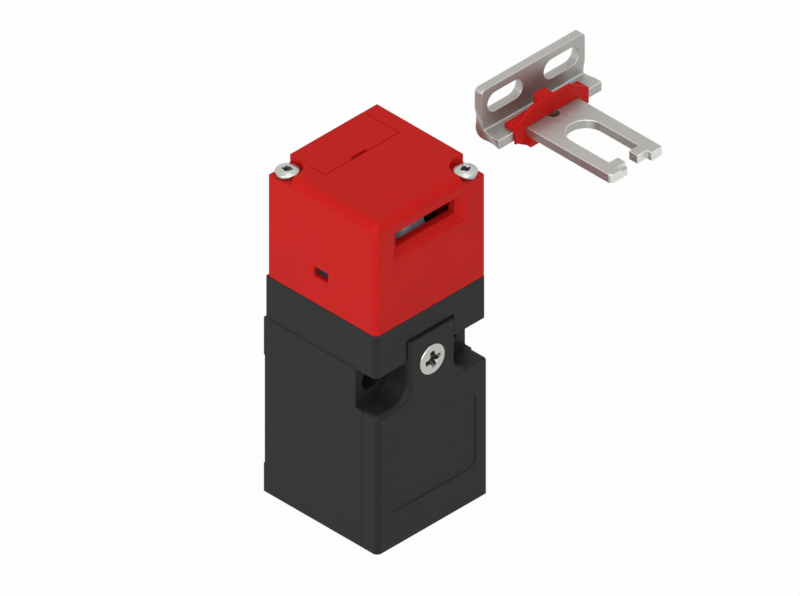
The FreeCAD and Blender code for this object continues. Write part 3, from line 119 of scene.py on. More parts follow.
@dataclass
class Graph:
    """A material's node tree with short calls to add nodes and links.

    Args:
        name: the material's name.
    """

    name: str
    material: bpy.types.Material = field(init=False)

    def __post_init__(self) -> None:
        """Makes the material with only its shader and its output."""
        self.material = bpy.data.materials.new(self.name)
        self.material.use_nodes = True

    @property
    def shader(self) -> bpy.types.Node:
        """The Principled shader."""
        return self.material.node_tree.nodes["Principled BSDF"]

    def add(self, kind: str, **settings: object) -> bpy.types.Node:
        """Adds a node.

        Args:
            kind: the node's type, such as ShaderNodeTexNoise.
            settings: its properties, or its inputs' values by name with _ for a space.

        Returns:
            The new node.
        """
        node = self.material.node_tree.nodes.new(kind)
        for key, value in settings.items():
            if hasattr(node, key):
                setattr(node, key, value)
            else:
                node.inputs[key.replace("_", " ")].default_value = value
        return node

    def link(self, start: Socket, end: Socket) -> None:
        """Links an output to an input."""
        self.material.node_tree.links.new(start, end)

    def noise(self, scale: float, stretch: Triple = (1.0, 1.0, 1.0), detail: float = 3.0) -> Socket:
        """Noise on Object coordinates.

        Args:
            scale: the noise's scale, in features a metre.
            stretch: how much finer the noise is along each axis.
            detail: the number of octaves.

        Returns:
            The noise's factor.
        """
        coordinates = self.add("ShaderNodeTexCoord")
        mapping = self.add("ShaderNodeMapping", Scale=stretch)
        texture = self.add("ShaderNodeTexNoise", Scale=scale, Detail=detail)
        self.link(coordinates.outputs["Object"], mapping.inputs["Vector"])
        self.link(mapping.outputs["Vector"], texture.inputs["Vector"])
        return texture.outputs["Fac"]

    def spread(self, source: Socket, low: float, high: float) -> Socket:
        """Maps a noise's middle range to low..high.

        Args:
            source: the value.
            low: the result at 0.3.
            high: the result at 0.7.

        Returns:
            The mapped value.
        """
        node = self.add("ShaderNodeMapRange", From_Min=0.3, From_Max=0.7, To_Min=low, To_Max=high)
        self.link(source, node.inputs["Value"])
        return node.outputs["Result"]

    def tint(self, source: Socket, colour: Triple, depth: float) -> Socket:
        """A colour that varies with a value by a share of itself.

        Args:
            source: the value that drives it.
            colour: the middle colour, linear.
            depth: the share by which it gets darker and lighter.

        Returns:
            The colour.
        """
        mix = self.add("ShaderNodeMix", data_type="RGBA")
        self.link(self.spread(source, 0.0, 1.0), mix.inputs[MIX_FACTOR])
        mix.inputs[MIX_FIRST].default_value = (*[c * (1 - depth) for c in colour], 1)
        mix.inputs[MIX_SECOND].default_value = (*[min(1.0, c * (1 + depth)) for c in colour], 1)
        return mix.outputs[MIX_RESULT]

    def with_painted_light(self, base: Socket, colour: Triple) -> Socket:
        """A colour that goes over to a painted one by the mesh's shade attribute: painted shade or painted
        highlights.

        Args:
            base: the colour where the attribute is zero or missing.
            colour: the painted colour where it is one, linear.

        Returns:
            The colour.
        """
        mask = self.add("ShaderNodeAttribute", attribute_name=PAINTED_LIGHT)
        mix = self.add("ShaderNodeMix", data_type="RGBA")
        self.link(mask.outputs["Fac"], mix.inputs[MIX_FACTOR])
        self.link(base, mix.inputs[MIX_FIRST])
        mix.inputs[MIX_SECOND].default_value = (*colour, 1)
        return mix.outputs[MIX_RESULT]

    def relief(self, source: Socket, height: float, strength: float) -> None:
        """Bumps the shader's normal.

        Args:
            source: the height's pattern.
            height: the height of its full range, in metres.
            strength: the bump's strength.
        """
        bump = self.add("ShaderNodeBump", Strength=strength, Distance=height)
        self.link(source, bump.inputs["Height"])
        self.link(bump.outputs["Normal"], self.shader.inputs["Normal"])


@dataclass(frozen=True)
class MouldedPlastic:
    """Injection-moulded plastic: an even colour with a fine spark-eroded grain.

    Args:
        name: the material's name.
        colour: the base colour, linear.
        roughness: the middle roughness.
        specular: the specular level, 0.5 being common plastic.
        grain: the grain's features a metre.
        depth: the grain's height, in metres.
        strength: the grain's strength on the normal.
        flow: the features a metre of the colour's slow drift.
        cloud: the share by which the colour drifts over the piece.
        wander: how far the roughness goes to each side of its middle.
    """

    name: str
    colour: Triple
    roughness: float
    specular: float
    grain: float = 3500.0
    depth: float = 6e-6
    strength: float = 0.35
    flow: float = 90.0
    cloud: float = 0.03
    wander: float = 0.06

    def build(self) -> bpy.types.Material:
        """Makes the material.

        Returns:
            The material.
        """
        graph = Graph(self.name)
        shader = graph.shader
        shader.inputs["Specular IOR Level"].default_value = self.specular
        flow = graph.noise(self.flow, detail=2.0)
        graph.link(graph.tint(flow, self.colour, self.cloud), shader.inputs["Base Color"])
        grain = graph.noise(self.grain)
        rough = graph.spread(grain, self.roughness - self.wander, self.roughness + self.wander)
        graph.link(rough, shader.inputs["Roughness"])
        graph.relief(grain, self.depth, self.strength)
        return graph.material


@dataclass(frozen=True)
class GroundMetal:
    """Metal with fine marks that run one way: ground sheet, turned pins or drawn wire.

    Args:
        name: the material's name.
        colour: the metal's colour, linear.
        roughness: the middle roughness.
        marks: how much finer the marks are along each axis.
        scale: the marks' features a metre.
        cloud: the share by which the colour drifts over the piece.
        shade: the painted colour where the mesh's shade attribute is one: painted shade in a screw's recess,
            painted highlights on the key sheet's edges, tips and sides.
        metallic: how metallic it is, less where a dull coat covers it.
        flow: the features a metre of the colour's slow drift.
        wander: how far the roughness goes to each side of its middle.
        depth: the marks' height, in metres.
        strength: the marks' strength on the normal.
    """

    name: str
    colour: Triple
    roughness: float
    marks: Triple
    scale: float
    cloud: float
    shade: Triple | None = None
    metallic: float = 1.0
    flow: float = 60.0
    wander: float = 0.08
    depth: float = 1.5e-6
    strength: float = 0.3

    def build(self) -> bpy.types.Material:
        """Makes the material.

        Returns:
            The material.
        """
        graph = Graph(self.name)
        shader = graph.shader
        shader.inputs["Metallic"].default_value = self.metallic
        flow = graph.noise(self.flow, detail=2.0)
        base = graph.tint(flow, self.colour, self.cloud)
        if self.shade:
            base = graph.with_painted_light(base, self.shade)
        graph.link(base, shader.inputs["Base Color"])
        marks = graph.noise(self.scale, self.marks)
        rough = graph.spread(marks, self.roughness - self.wander, self.roughness + self.wander)
        graph.link(rough, shader.inputs["Roughness"])
        graph.relief(marks, self.depth, self.strength)
        return graph.material


class Finishes:
    """All materials of the part, by record slot.

    EVEN is the stretch of marks that run no particular way.
    """

    EVEN = (1.0, 1.0, 1.0)
    RECIPES = {
        Slot.BLACK: MouldedPlastic(
            "housing_black", (0.0150, 0.0148, 0.0140), roughness=0.5, specular=0.15
        ),
        Slot.RED: MouldedPlastic("head_red", (0.485, 0.0100, 0.0078), roughness=0.45, specular=0.07),
        Slot.WHITE: MouldedPlastic("slider_white", (0.74, 0.73, 0.69), roughness=0.4, specular=0.4),
        Slot.BLOCK: MouldedPlastic("block_grey", (0.5, 0.5, 0.47), roughness=0.45, specular=0.4),
        Slot.RUBBER: MouldedPlastic(
            "seal_black", (0.012, 0.012, 0.012), roughness=0.75, specular=0.2, grain=1800.0, depth=1.2e-5
        ),
        Slot.SCREW: GroundMetal(
            "screw_zinc",
            (0.5, 0.505, 0.475),
            roughness=0.32,
            marks=EVEN,
            scale=2500.0,
            cloud=0.05,
            # Painted shade: the screws' recesses go over to this darker colour, and the terminal clamps'
            # rounded edges take it as well.
            shade=(0.17, 0.17, 0.165),
        ),
        Slot.KEY: GroundMetal(
            "key_sheet",
            (0.43, 0.42, 0.40),
            roughness=0.48,
            marks=(1.0, 0.06, 1.0),
            scale=5000.0,
            cloud=0.05,
            # Painted highlight: the sheet's rounded edges, tips and sides go over to this lighter colour.
            shade=(0.74, 0.73, 0.69),
        ),
        Slot.CAM: GroundMetal(
            "cam_ground",
            (0.80, 0.79, 0.82),
            roughness=0.5,
            marks=(1.0, 1.0, 0.1),
            scale=5000.0,
            cloud=0.05,
            metallic=0.35,
        ),
        Slot.SPRING: GroundMetal(
            "spring_wire", (0.42, 0.42, 0.43), roughness=0.28, marks=EVEN, scale=4000.0, cloud=0.04
        ),
        Slot.BRASS: GroundMetal(
            "contact_brass", (0.7, 0.52, 0.22), roughness=0.3, marks=(1.0, 0.1, 1.0), scale=4000.0, cloud=0.05
        ),
    }

    def __init__(self) -> None:
        """Makes every material once."""
        self.made = {slot: recipe.build() for slot, recipe in self.RECIPES.items()}

    def dress(self, piece: bpy.types.Object, slot: Slot) -> None:
        """Gives a piece the material of a record slot.

        Args:
            piece: the piece.
            slot: the record's slot.
        """
        piece.data.materials.clear()
        piece.data.materials.append(self.made[slot])

    def dress_frame(self) -> None:
        """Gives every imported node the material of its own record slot."""
        for row in frame["record"]["subparts"]:
            node = frame["nodes"][row["node"]]
            node.data.materials.clear()
            node.data.materials.append(self.made[Slot(row["material_slot"])])


# ---------------------------------------------------------------- meshes


def placed(name: str, points: np.ndarray, faces: list[tuple[int, ...]]) -> bpy.types.Object:
    """Makes a smooth, closed mesh object at the origin, with its faces pointing outwards.

    Args:
        name: the piece's name.
        points: the vertices, (n, 3), in metres.
        faces: each face's vertex numbers.

    Returns:
        The object.
    """
    mesh = bpy.data.meshes.new(name)
    mesh.from_pydata(points.tolist(), [], faces)
    shape = bmesh.new()
    shape.from_mesh(mesh)
    bmesh.ops.recalc_face_normals(shape, faces=shape.faces)
    shape.to_mesh(mesh)
    shape.free()
    mesh.shade_smooth()
    piece = bpy.data.objects.new(name, mesh)
    bpy.context.scene.collection.objects.link(piece)
    return piece


def ring_faces(rows: int, columns: int, first: int = 0) -> list[tuple[int, ...]]:
    """The faces of a stack of closed rings, with a flat cap at each end.

    Face (i, j) joins points j and j + 1 of ring i to the same points of ring i + 1, and a ring's last point
    joins its first.

    Args:
        rows: the number of rings.
        columns: the points in a ring.
        first: the number of the stack's first vertex.

    Returns:
        The faces.
    """
    row, column = np.meshgrid(np.arange(rows - 1), np.arange(columns), indexing="ij")
    here, above = row * columns + first, (row + 1) * columns + first
    beside = (column + 1) % columns
    quads = np.stack([here + column, above + column, above + beside, here + beside], axis=-1).reshape(-1, 4)
    last = first + (rows - 1) * columns
    caps = [tuple(range(first, first + columns)), tuple(range(last, last + columns))]
    return [tuple(quad) for quad in quads.tolist()] + caps


def helix_tube(
    centre: Vector, radius: float, wire: float, low: float, high: float, turns: float
) -> np.ndarray:
    """The rings of a coil spring of round wire about a Z axis.

    The wire's middle is (R cos a, R sin a, z) with a = 2 pi turns t, and z rises evenly between the dead
    coils at the ends. Around it a circle of the wire's radius lies in the plane of the outward and the upward
    direction.

    Args:
        centre: a point on the axis.
        radius: the coil's middle radius R.
        wire: the wire's radius.
        low: the lowest point of the wire.
        high: the highest point of the wire.
        turns: the number of turns.

    Returns:
        The rings, (steps, points, 3).
    """
    turn_steps, wire_points, dead_share = 28, 10, 0.12
    steps = np.linspace(0.0, 1.0, int(turns * turn_steps))
    angle = 2 * math.pi * turns * steps
    rise = np.clip((steps - dead_share) / (1.0 - 2 * dead_share), 0.0, 1.0)
    height = low + wire + rise * (high - low - 2 * wire)
    around = np.linspace(0.0, 2 * math.pi, wire_points, endpoint=False)
    reach = radius + wire * np.cos(around)[None, :]
    return np.stack(
        [
            centre.x + reach * np.cos(angle)[:, None],
            centre.y + reach * np.sin(angle)[:, None],
            height[:, None] + wire * np.sin(around)[None, :],
        ],
        axis=-1,
    )


def stacks(name: str, groups: list[np.ndarray]) -> bpy.types.Object:
    """One object of several stacks of closed rings.

    Args:
        name: the piece's name.
        groups: the stacks, each (rows, columns, 3).

    Returns:
        The object.
    """
    points, faces, first = [], [], 0
    for rings in groups:
        rows, columns, _ = rings.shape
        points.append(rings.reshape(-1, 3))
        faces += ring_faces(rows, columns, first)
        first += rows * columns
    return placed(name, np.concatenate(points), faces)


def screws(name: str, group: list["Screw"]) -> bpy.types.Object:
    """One object of several screws, whose recesses carry painted shade through the shade attribute.

    Args:
        name: the piece's name.
        group: the screws.

    Returns:
        The object.
    """
    surfaces = [screw.surface() for screw in group]
    piece = stacks(name, [rings for rings, _ in surfaces])
    # Painted shade: each point of a recess takes the darker colour by its depth.
    painted_recess_shade = np.concatenate([sunk.reshape(-1) for _, sunk in surfaces]).astype(np.float32)
    piece.data.attributes.new(PAINTED_LIGHT, "FLOAT", "POINT").data.foreach_set("value", painted_recess_shade)
    return piece


def softened(node: str, width: float, segments: int = 3, angle: float = 28.0) -> bpy.types.Object:
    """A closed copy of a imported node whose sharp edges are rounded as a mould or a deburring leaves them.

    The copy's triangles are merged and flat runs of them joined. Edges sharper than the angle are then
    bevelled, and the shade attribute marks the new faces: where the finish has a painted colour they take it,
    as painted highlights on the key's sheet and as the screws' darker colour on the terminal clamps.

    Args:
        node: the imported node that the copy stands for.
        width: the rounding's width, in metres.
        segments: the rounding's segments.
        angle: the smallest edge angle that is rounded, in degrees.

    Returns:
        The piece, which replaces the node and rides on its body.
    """
    source = frame["nodes"][node]
    mesh = source.data.copy()
    shape = bmesh.new()
    shape.from_mesh(mesh)
    same_point, flat = 0.002 * MM, math.radians(1.0)
    bmesh.ops.remove_doubles(shape, verts=shape.verts, dist=same_point)
    bmesh.ops.dissolve_limit(shape, angle_limit=flat, verts=shape.verts, edges=shape.edges)
    mark = shape.faces.layers.float.new(PAINTED_LIGHT)
    sharp = [edge for edge in shape.edges if edge.calc_face_angle(0.0) > math.radians(angle)]
    rounded = bmesh.ops.bevel(
        shape, geom=sharp, offset=width, offset_type="OFFSET", segments=segments, profile=0.5, affect="EDGES",
        clamp_overlap=False, miter_outer="ARC",
    )
    # The new faces are marked for the finish's painted light.
    for face in rounded["faces"]:
        face[mark] = 1.0
    shape.to_mesh(mesh)
    shape.free()
    mesh.shade_smooth()
    piece = bpy.data.objects.new(f"{node}_finished", mesh)
    bpy.context.scene.collection.objects.link(piece)
    weights = piece.modifiers.new("shading", "WEIGHTED_NORMAL")
    weights.keep_sharp = True
    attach(piece, source["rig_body"])
    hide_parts(node)
    LOG.info("%s: rounded by %.2f mm", piece.name, width / MM)
    return piece


@dataclass
class Screw:
    """A machine screw turned about its axis, with a crowned head, a driver recess and a rolled thread.

    The surface is a profile of radius and height turned about the axis. On the head's top each point also
    drops by the recess. On the shank the radius falls and rises once a pitch, with the phase
    height / pitch - angle / 2 pi.

    Args:
        top: the middle of the head's top.
        head_radius: the head's radius.
        head_height: the head's height, crown included.
        crown: how far the head's middle stands above its rim.
        shank_radius: the thread's outer radius.
        length: the shank's length.
        pitch: the thread's pitch.
        forward: True if the head faces -Y, False if it faces +Z.
        drive: the recess.
        turn: the recess's angle, in degrees.
        reach: how far a cross recess reaches, as a share of the head's radius.
        columns: the points round the axis.
        crown_rings: the rings from the middle of the head's top to its rim.
    """

    top: Vector
    head_radius: float
    head_height: float
    crown: float
    shank_radius: float
    length: float
    pitch: float
    forward: bool
    drive: Drive = Drive.CROSS
    turn: float = 0.0
    reach: float = 0.62
    columns: int = 176
    crown_rings: int = 72

    def profile(self) -> tuple[np.ndarray, np.ndarray]:
        """The outline of half the screw, from the head's middle out, down and in again.

        The head's top falls by the crown times the square of the radius's share, and a quarter round joins it
        to the head's side.

        Returns:
            The radius and the height of each ring.
        """
        innermost, rim_steps, thread_steps, tip = 0.02, 8, 6, 0.7
        rim = 0.22 * self.head_height
        crown_r = np.linspace(innermost, 1.0, self.crown_rings) * (self.head_radius - rim)
        crown_z = -self.crown * (crown_r / self.head_radius) ** 2
        arc = np.linspace(0.0, math.pi / 2, rim_steps)[1:]
        rim_r = self.head_radius - rim + rim * np.sin(arc)
        rim_z = crown_z[-1] - rim * (1 - np.cos(arc))
        under = -self.head_height
        shank_z = np.arange(under, under - self.length + self.pitch, -self.pitch / thread_steps)
        shank_r = np.full(shank_z.shape, self.shank_radius)
        radius = np.concatenate([crown_r, rim_r, [self.head_radius], shank_r, [tip * self.shank_radius]])
        height = np.concatenate([crown_z, rim_z, [under], shank_z, [under - self.length]])
        return radius, height

    def recess(self, across: np.ndarray, along: np.ndarray) -> np.ndarray:
        """The recess's depth at points of the head's top.

        An arm has a flat floor and sloping walls and runs out at its end. A cross has a cone in its middle.

        Args:
            across: the points' first coordinate in the head's plane.
            along: the points' second coordinate.

        Returns:
            The depth at each point.
        """
        reach, half = self.reach * self.head_radius, 0.15 * self.head_radius
        depth = 0.75 * self.head_height
        if self.drive is Drive.SLOTTED:
            reach, depth = 2.0 * self.head_radius, 0.4 * self.head_height
        brink, slope, fade = 1.25 * half, 0.4 * half, 0.3 * reach
        cone_share, cone_reach = 1.3, 1.9 * half

        def arm(one: np.ndarray, other: np.ndarray) -> np.ndarray:
            """The depth of an arm.

            Args:
                one: the coordinate along the arm.
                other: the coordinate across it.

            Returns:
                The depth at each point.
            """
            wall = np.clip((brink - np.abs(other)) / slope, 0.0, 1.0)
            run_out = np.clip((reach - np.abs(one)) / fade, 0.0, 1.0)
            return depth * wall * run_out

        deep = arm(across, along)
        if self.drive is Drive.CROSS:
            cone = depth * np.clip(cone_share - np.hypot(across, along) / cone_reach, 0.0, 1.0)
            deep = np.maximum.reduce([deep, arm(along, across), cone])
        return deep

    def surface(self) -> tuple[np.ndarray, np.ndarray]:
        """The whole surface in place.

        Returns:
            The rings, (rows, columns, 3), and each point's share of painted shade in the recess, 0 to 1,
            (rows, columns).
        """
        groove_depth, shade_depth, hair = 0.3 * self.pitch, self.head_height / 8, 1e-7
        radius, height = self.profile()
        angle = np.linspace(0.0, 2 * math.pi, self.columns, endpoint=False)
        on_top = np.arange(radius.size) < self.crown_rings
        on_shank = height < -self.head_height - hair
        phase = (height[:, None] / self.pitch - angle[None, :] / (2 * math.pi)) % 1.0
        groove = groove_depth * (1.0 - np.abs(2.0 * phase - 1.0)) * on_shank[:, None]
        reach = radius[:, None] - groove
        across, along = reach * np.cos(angle), reach * np.sin(angle)
        turn = math.radians(self.turn)
        turned_across = across * math.cos(turn) + along * math.sin(turn)
        turned_along = along * math.cos(turn) - across * math.sin(turn)
        sunk = self.recess(turned_across, turned_along) * on_top[:, None]
        level = height[:, None] - sunk
        # Painted shade in the recess, full at an eighth of the head's height deep.
        share = np.clip(sunk / shade_depth, 0.0, 1.0)
        if self.forward:
            return np.stack([self.top.x + across, self.top.y - level, self.top.z + along], axis=-1), share
        return np.stack([self.top.x + across, self.top.y + along, self.top.z + level], axis=-1), share


# ---------------------------------------------------------------- sub-assemblies


@dataclass
class Housing:
    """The black body with its collar, the front cover with its screw, and the conduit entry's thread.

    Args:
        finishes: the materials.
        body_edge: the rounding of the body's edges.
        cover_edge: the rounding of the cover's edges, under the depth of its label panel.
        screw_head: the cover screw's head height.
        screw_crown: how far the middle of its head stands above the rim.
        screw_radius: its thread's outer radius.
        screw_pitch: its thread's pitch.
        screw_turn: its recess's angle, in degrees.
        thread_pitch: the conduit thread's pitch.
        thread_depth: the conduit thread's depth.
    """

    finishes: Finishes
    body_edge: float = 0.12 * MM
    cover_edge: float = 0.09 * MM
    screw_head: float = 1.6 * MM
    screw_crown: float = 0.12 * MM
    screw_radius: float = 1.72 * MM
    screw_pitch: float = 0.7 * MM
    screw_turn: float = 8.0
    thread_pitch: float = 1.5 * MM
    thread_depth: float = 0.75 * MM

    def build(self) -> None:
        """Makes the housing's pieces."""
        self.finishes.dress(softened("body_housing", self.body_edge), Slot.BLACK)
        self.finishes.dress(softened("front_cover", self.cover_edge), Slot.BLACK)
        self.cover_screw()
        self.conduit_thread()

    def cover_screw(self) -> None:
        """The cross-recessed screw in the cover's tab."""
        low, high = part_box("cover_screw")
        screw = Screw(
            top=Vector(((low.x + high.x) / 2, low.y, (low.z + high.z) / 2)),
            head_radius=(high.x - low.x) / 2,
            head_height=self.screw_head,
            crown=self.screw_crown,
            shank_radius=self.screw_radius,
            length=high.y - low.y - self.screw_head,
            pitch=self.screw_pitch,
            forward=True,
            turn=self.screw_turn,
        )
        piece = screws("cover_screw_turned", [screw])
        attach(piece, Body.COVER.value)
        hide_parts("cover_screw")
        self.finishes.dress(piece, Slot.SCREW)
        LOG.info("%s: cross recess and thread", piece.name)

    def conduit_thread(self) -> None:
        """The thread in the bottom entry: a ridge of trapezium section carried down a helix.

        Two points of the section lie just outside the bore's radius and two at the crest, which is lower by
        the thread's depth. After n t of the n turns a point stands at the angle 2 pi n t, and at the height
        pitch n t plus its own offset. The ridge runs out at both ends.
        """
        turn_steps, end_gap, flank, crest, root = 72, 0.8, 0.42, 0.07, 0.02 * MM
        run_out, least = 3, 0.02
        mount = next(m for m in frame["record"]["mounts"] if m["name"] == "conduit_entry")
        bore, deep = mount["dims"]["r_mm"] * MM, mount["dims"]["length_mm"] * MM
        turns = (deep - 2 * end_gap * self.thread_pitch) / self.thread_pitch
        steps = np.linspace(0.0, 1.0, int(turns * turn_steps))
        angle = 2 * math.pi * turns * steps
        fade = np.clip(np.minimum(steps, 1 - steps) * turns * run_out, least, 1.0)
        inner = bore - self.thread_depth * fade
        outer = np.full(steps.shape, bore + root)
        level = self.thread_pitch * (end_gap + turns * steps)
        section = ((outer, -flank), (inner, -crest), (inner, crest), (outer, flank))
        lines = [
            np.stack([r * np.cos(angle), r * np.sin(angle), level + rise * self.thread_pitch], axis=-1)
            for r, rise in section
        ]
        piece = stacks("conduit_thread", [np.stack(lines, axis=1)])
        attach(piece, Body.HOUSING.value)
        self.finishes.dress(piece, Slot.BLACK)
        LOG.info("%s: %.1f turns", piece.name, turns)


@dataclass
class Head:
    """The red head with its top panel and its two corner screws.

    Args:
        finishes: the materials.
        edge: the rounding of the head's moulded edges.
        panel_edge: the rounding of the top panel's edges.
        screw_head_radius: the corner screws' head radius.
        screw_head: their head height.
        screw_crown: how far the middle of a head stands above its rim.
        screw_radius: their thread's outer radius.
        screw_pitch: their thread's pitch.
        screw_turns: their recesses' angles, in degrees.
    """

    finishes: Finishes
    edge: float = 0.14 * MM
    panel_edge: float = 0.1 * MM
    screw_head_radius: float = 2.45 * MM
    screw_head: float = 1.5 * MM
    screw_crown: float = 0.55 * MM
    screw_radius: float = 1.22 * MM
    screw_pitch: float = 0.45 * MM
    screw_turns: tuple[float, float] = (35.0, -20.0)

    def build(self) -> None:
        """Makes the head's pieces."""
        self.finishes.dress(softened("head_housing", self.edge), Slot.RED)
        self.finishes.dress(softened("top_entry_cover", self.panel_edge), Slot.RED)
        self.corner_screws()

    def corner_screws(self) -> None:
        """The two domed screws in the head's notches, which reach down into the collar."""
        low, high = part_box("head_screws")
        radius = self.screw_head_radius
        places = ((low.x + radius, high.y - radius), (high.x - radius, low.y + radius))
        group = [
            Screw(
                top=Vector((across, along, high.z)),
                head_radius=radius,
                head_height=self.screw_head,
                crown=self.screw_crown,
                shank_radius=self.screw_radius,
                length=high.z - low.z - self.screw_head,
                pitch=self.screw_pitch,
                forward=False,
                turn=turn,
                reach=0.42,
                columns=64,
                crown_rings=44,
            )
            for (across, along), turn in zip(places, self.screw_turns)
        ]
        piece = screws("head_screws_turned", group)
        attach(piece, Body.HOUSING.value)
        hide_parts("head_screws")
        self.finishes.dress(piece, Slot.SCREW)
        LOG.info("%s: %d screws", piece.name, len(group))


@dataclass
class CamWheel:
    """The steel discs and the drive pin behind the key slot.

    Args:
        finishes: the materials.
        edge: the rounding of the discs' edges.
    """

    finishes: Finishes
    edge: float = 0.15 * MM

    def build(self) -> None:
        """Makes the wheel's pieces."""
        for node in ("cam_disc", "cam_side_discs", "drive_pin"):
            self.finishes.dress(softened(node, self.edge, segments=2), Slot.CAM)


@dataclass
class PlungerTrain:
    """The plunger with its return spring.

    Args:
        finishes: the materials.
        edge: the rounding of the plunger's edges.
        wire: the spring wire's radius.
        turns: the spring's turns.
    """

    finishes: Finishes
    edge: float = 0.1 * MM
    wire: float = 0.35 * MM
    turns: float = 4.0

    def build(self) -> None:
        """Makes the train's pieces."""
        self.finishes.dress(softened("plunger", self.edge, segments=2), Slot.WHITE)
        low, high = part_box("plunger_spring")
        centre = (low + high) / 2
        reach = (high.x - low.x) / 2 - self.wire
        coil = helix_tube(centre, reach, self.wire, low.z, high.z, self.turns)
        piece = stacks("plunger_spring_coil", [coil])
        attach(piece, Body.HOUSING.value)
        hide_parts("plunger_spring")
        self.finishes.dress(piece, Slot.SPRING)
        LOG.info("%s: %.0f turns", piece.name, self.turns)


@dataclass
class Contacts:
    """The contact block, its terminals, and the slider with its bridges and springs.

    Args:
        finishes: the materials.
        edge: the rounding of the block's and the metal pieces' edges.
        slider_edge: the rounding of the slider's edges.
        wire: the contact springs' wire radius.
        spring_turns: the contact springs' turns.
        head_radius: the terminal screws' head radius.
        head_height: their head height.
        crown: how far the middle of a head stands above its rim.
        shank_radius: their thread's outer radius.
        pitch: their thread's pitch.
        turn: the first screw's slot angle, in degrees.
        row_turn: how much further the next row's screws are turned.
        column_turn: how much further the next column's screws are turned.
    """

    finishes: Finishes
    edge: float = 0.1 * MM
    slider_edge: float = 0.08 * MM
    wire: float = 0.2 * MM
    spring_turns: float = 3.0
    head_radius: float = 2.2 * MM
    head_height: float = 1.6 * MM
    crown: float = 0.15 * MM
    shank_radius: float = 1.18 * MM
    pitch: float = 0.45 * MM
    turn: float = 20.0
    row_turn: float = 50.0
    column_turn: float = 25.0

    def build(self) -> None:
        """Makes the contact set's pieces."""
        rows = (
            ("contact_block", self.edge, Slot.BLOCK),
            ("contact_slider", self.slider_edge, Slot.WHITE),
            ("contact_bridges", self.edge, Slot.BRASS),
            ("fixed_contacts", self.edge, Slot.BRASS),
            ("terminal_clamps", self.edge, Slot.SCREW),
        )
        for node, edge, slot in rows:
            self.finishes.dress(softened(node, edge, segments=2), slot)
        self.terminal_screws()
        self.bridge_springs()

    def terminal_screws(self) -> None:
        """The four slotted terminal screws, each at an angle of its own."""
        low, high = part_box("terminal_screws")
        radius = self.head_radius
        group = [
            Screw(
                top=Vector((across, low.y, along)),
                head_radius=radius,
                head_height=self.head_height,
                crown=self.crown,
                shank_radius=self.shank_radius,
                length=high.y - low.y - self.head_height,
                pitch=self.pitch,
                forward=True,
                drive=Drive.SLOTTED,
                turn=self.turn + self.row_turn * row + self.column_turn * column,
                columns=64,
                crown_rings=40,
            )
            for row, along in enumerate((low.z + radius, high.z - radius))
            for column, across in enumerate((low.x + radius, high.x - radius))
        ]
        piece = screws("terminal_screws_turned", group)
        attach(piece, Body.HOUSING.value)
        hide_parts("terminal_screws")
        self.finishes.dress(piece, Slot.SCREW)
        LOG.info("%s: %d screws", piece.name, len(group))

    def bridge_springs(self) -> None:
        """The two small springs that press the bridges onto their stops.

        The node holds both. Its widest gap in height is where the lower one ends and the upper one starts.
        """
        low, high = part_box("contact_springs")
        mesh = frame["nodes"]["contact_springs"].data
        points = np.empty(len(mesh.vertices) * 3)
        mesh.vertices.foreach_get("co", points)
        heights = np.sort(points.reshape(-1, 3)[:, 2])
        split = int(np.argmax(np.diff(heights)))
        spans = ((heights[0], heights[split]), (heights[split + 1], heights[-1]))
        centre = (low + high) / 2
        reach = (high.x - low.x) / 2 - self.wire
        coils = [
            helix_tube(centre, reach, self.wire, bottom, top, self.spring_turns) for bottom, top in spans
        ]
        piece = stacks("contact_springs_coils", coils)
        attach(piece, Body.CONTACTS.value)
        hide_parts("contact_springs")
        self.finishes.dress(piece, Slot.SPRING)
        LOG.info("%s: %d springs", piece.name, len(coils))


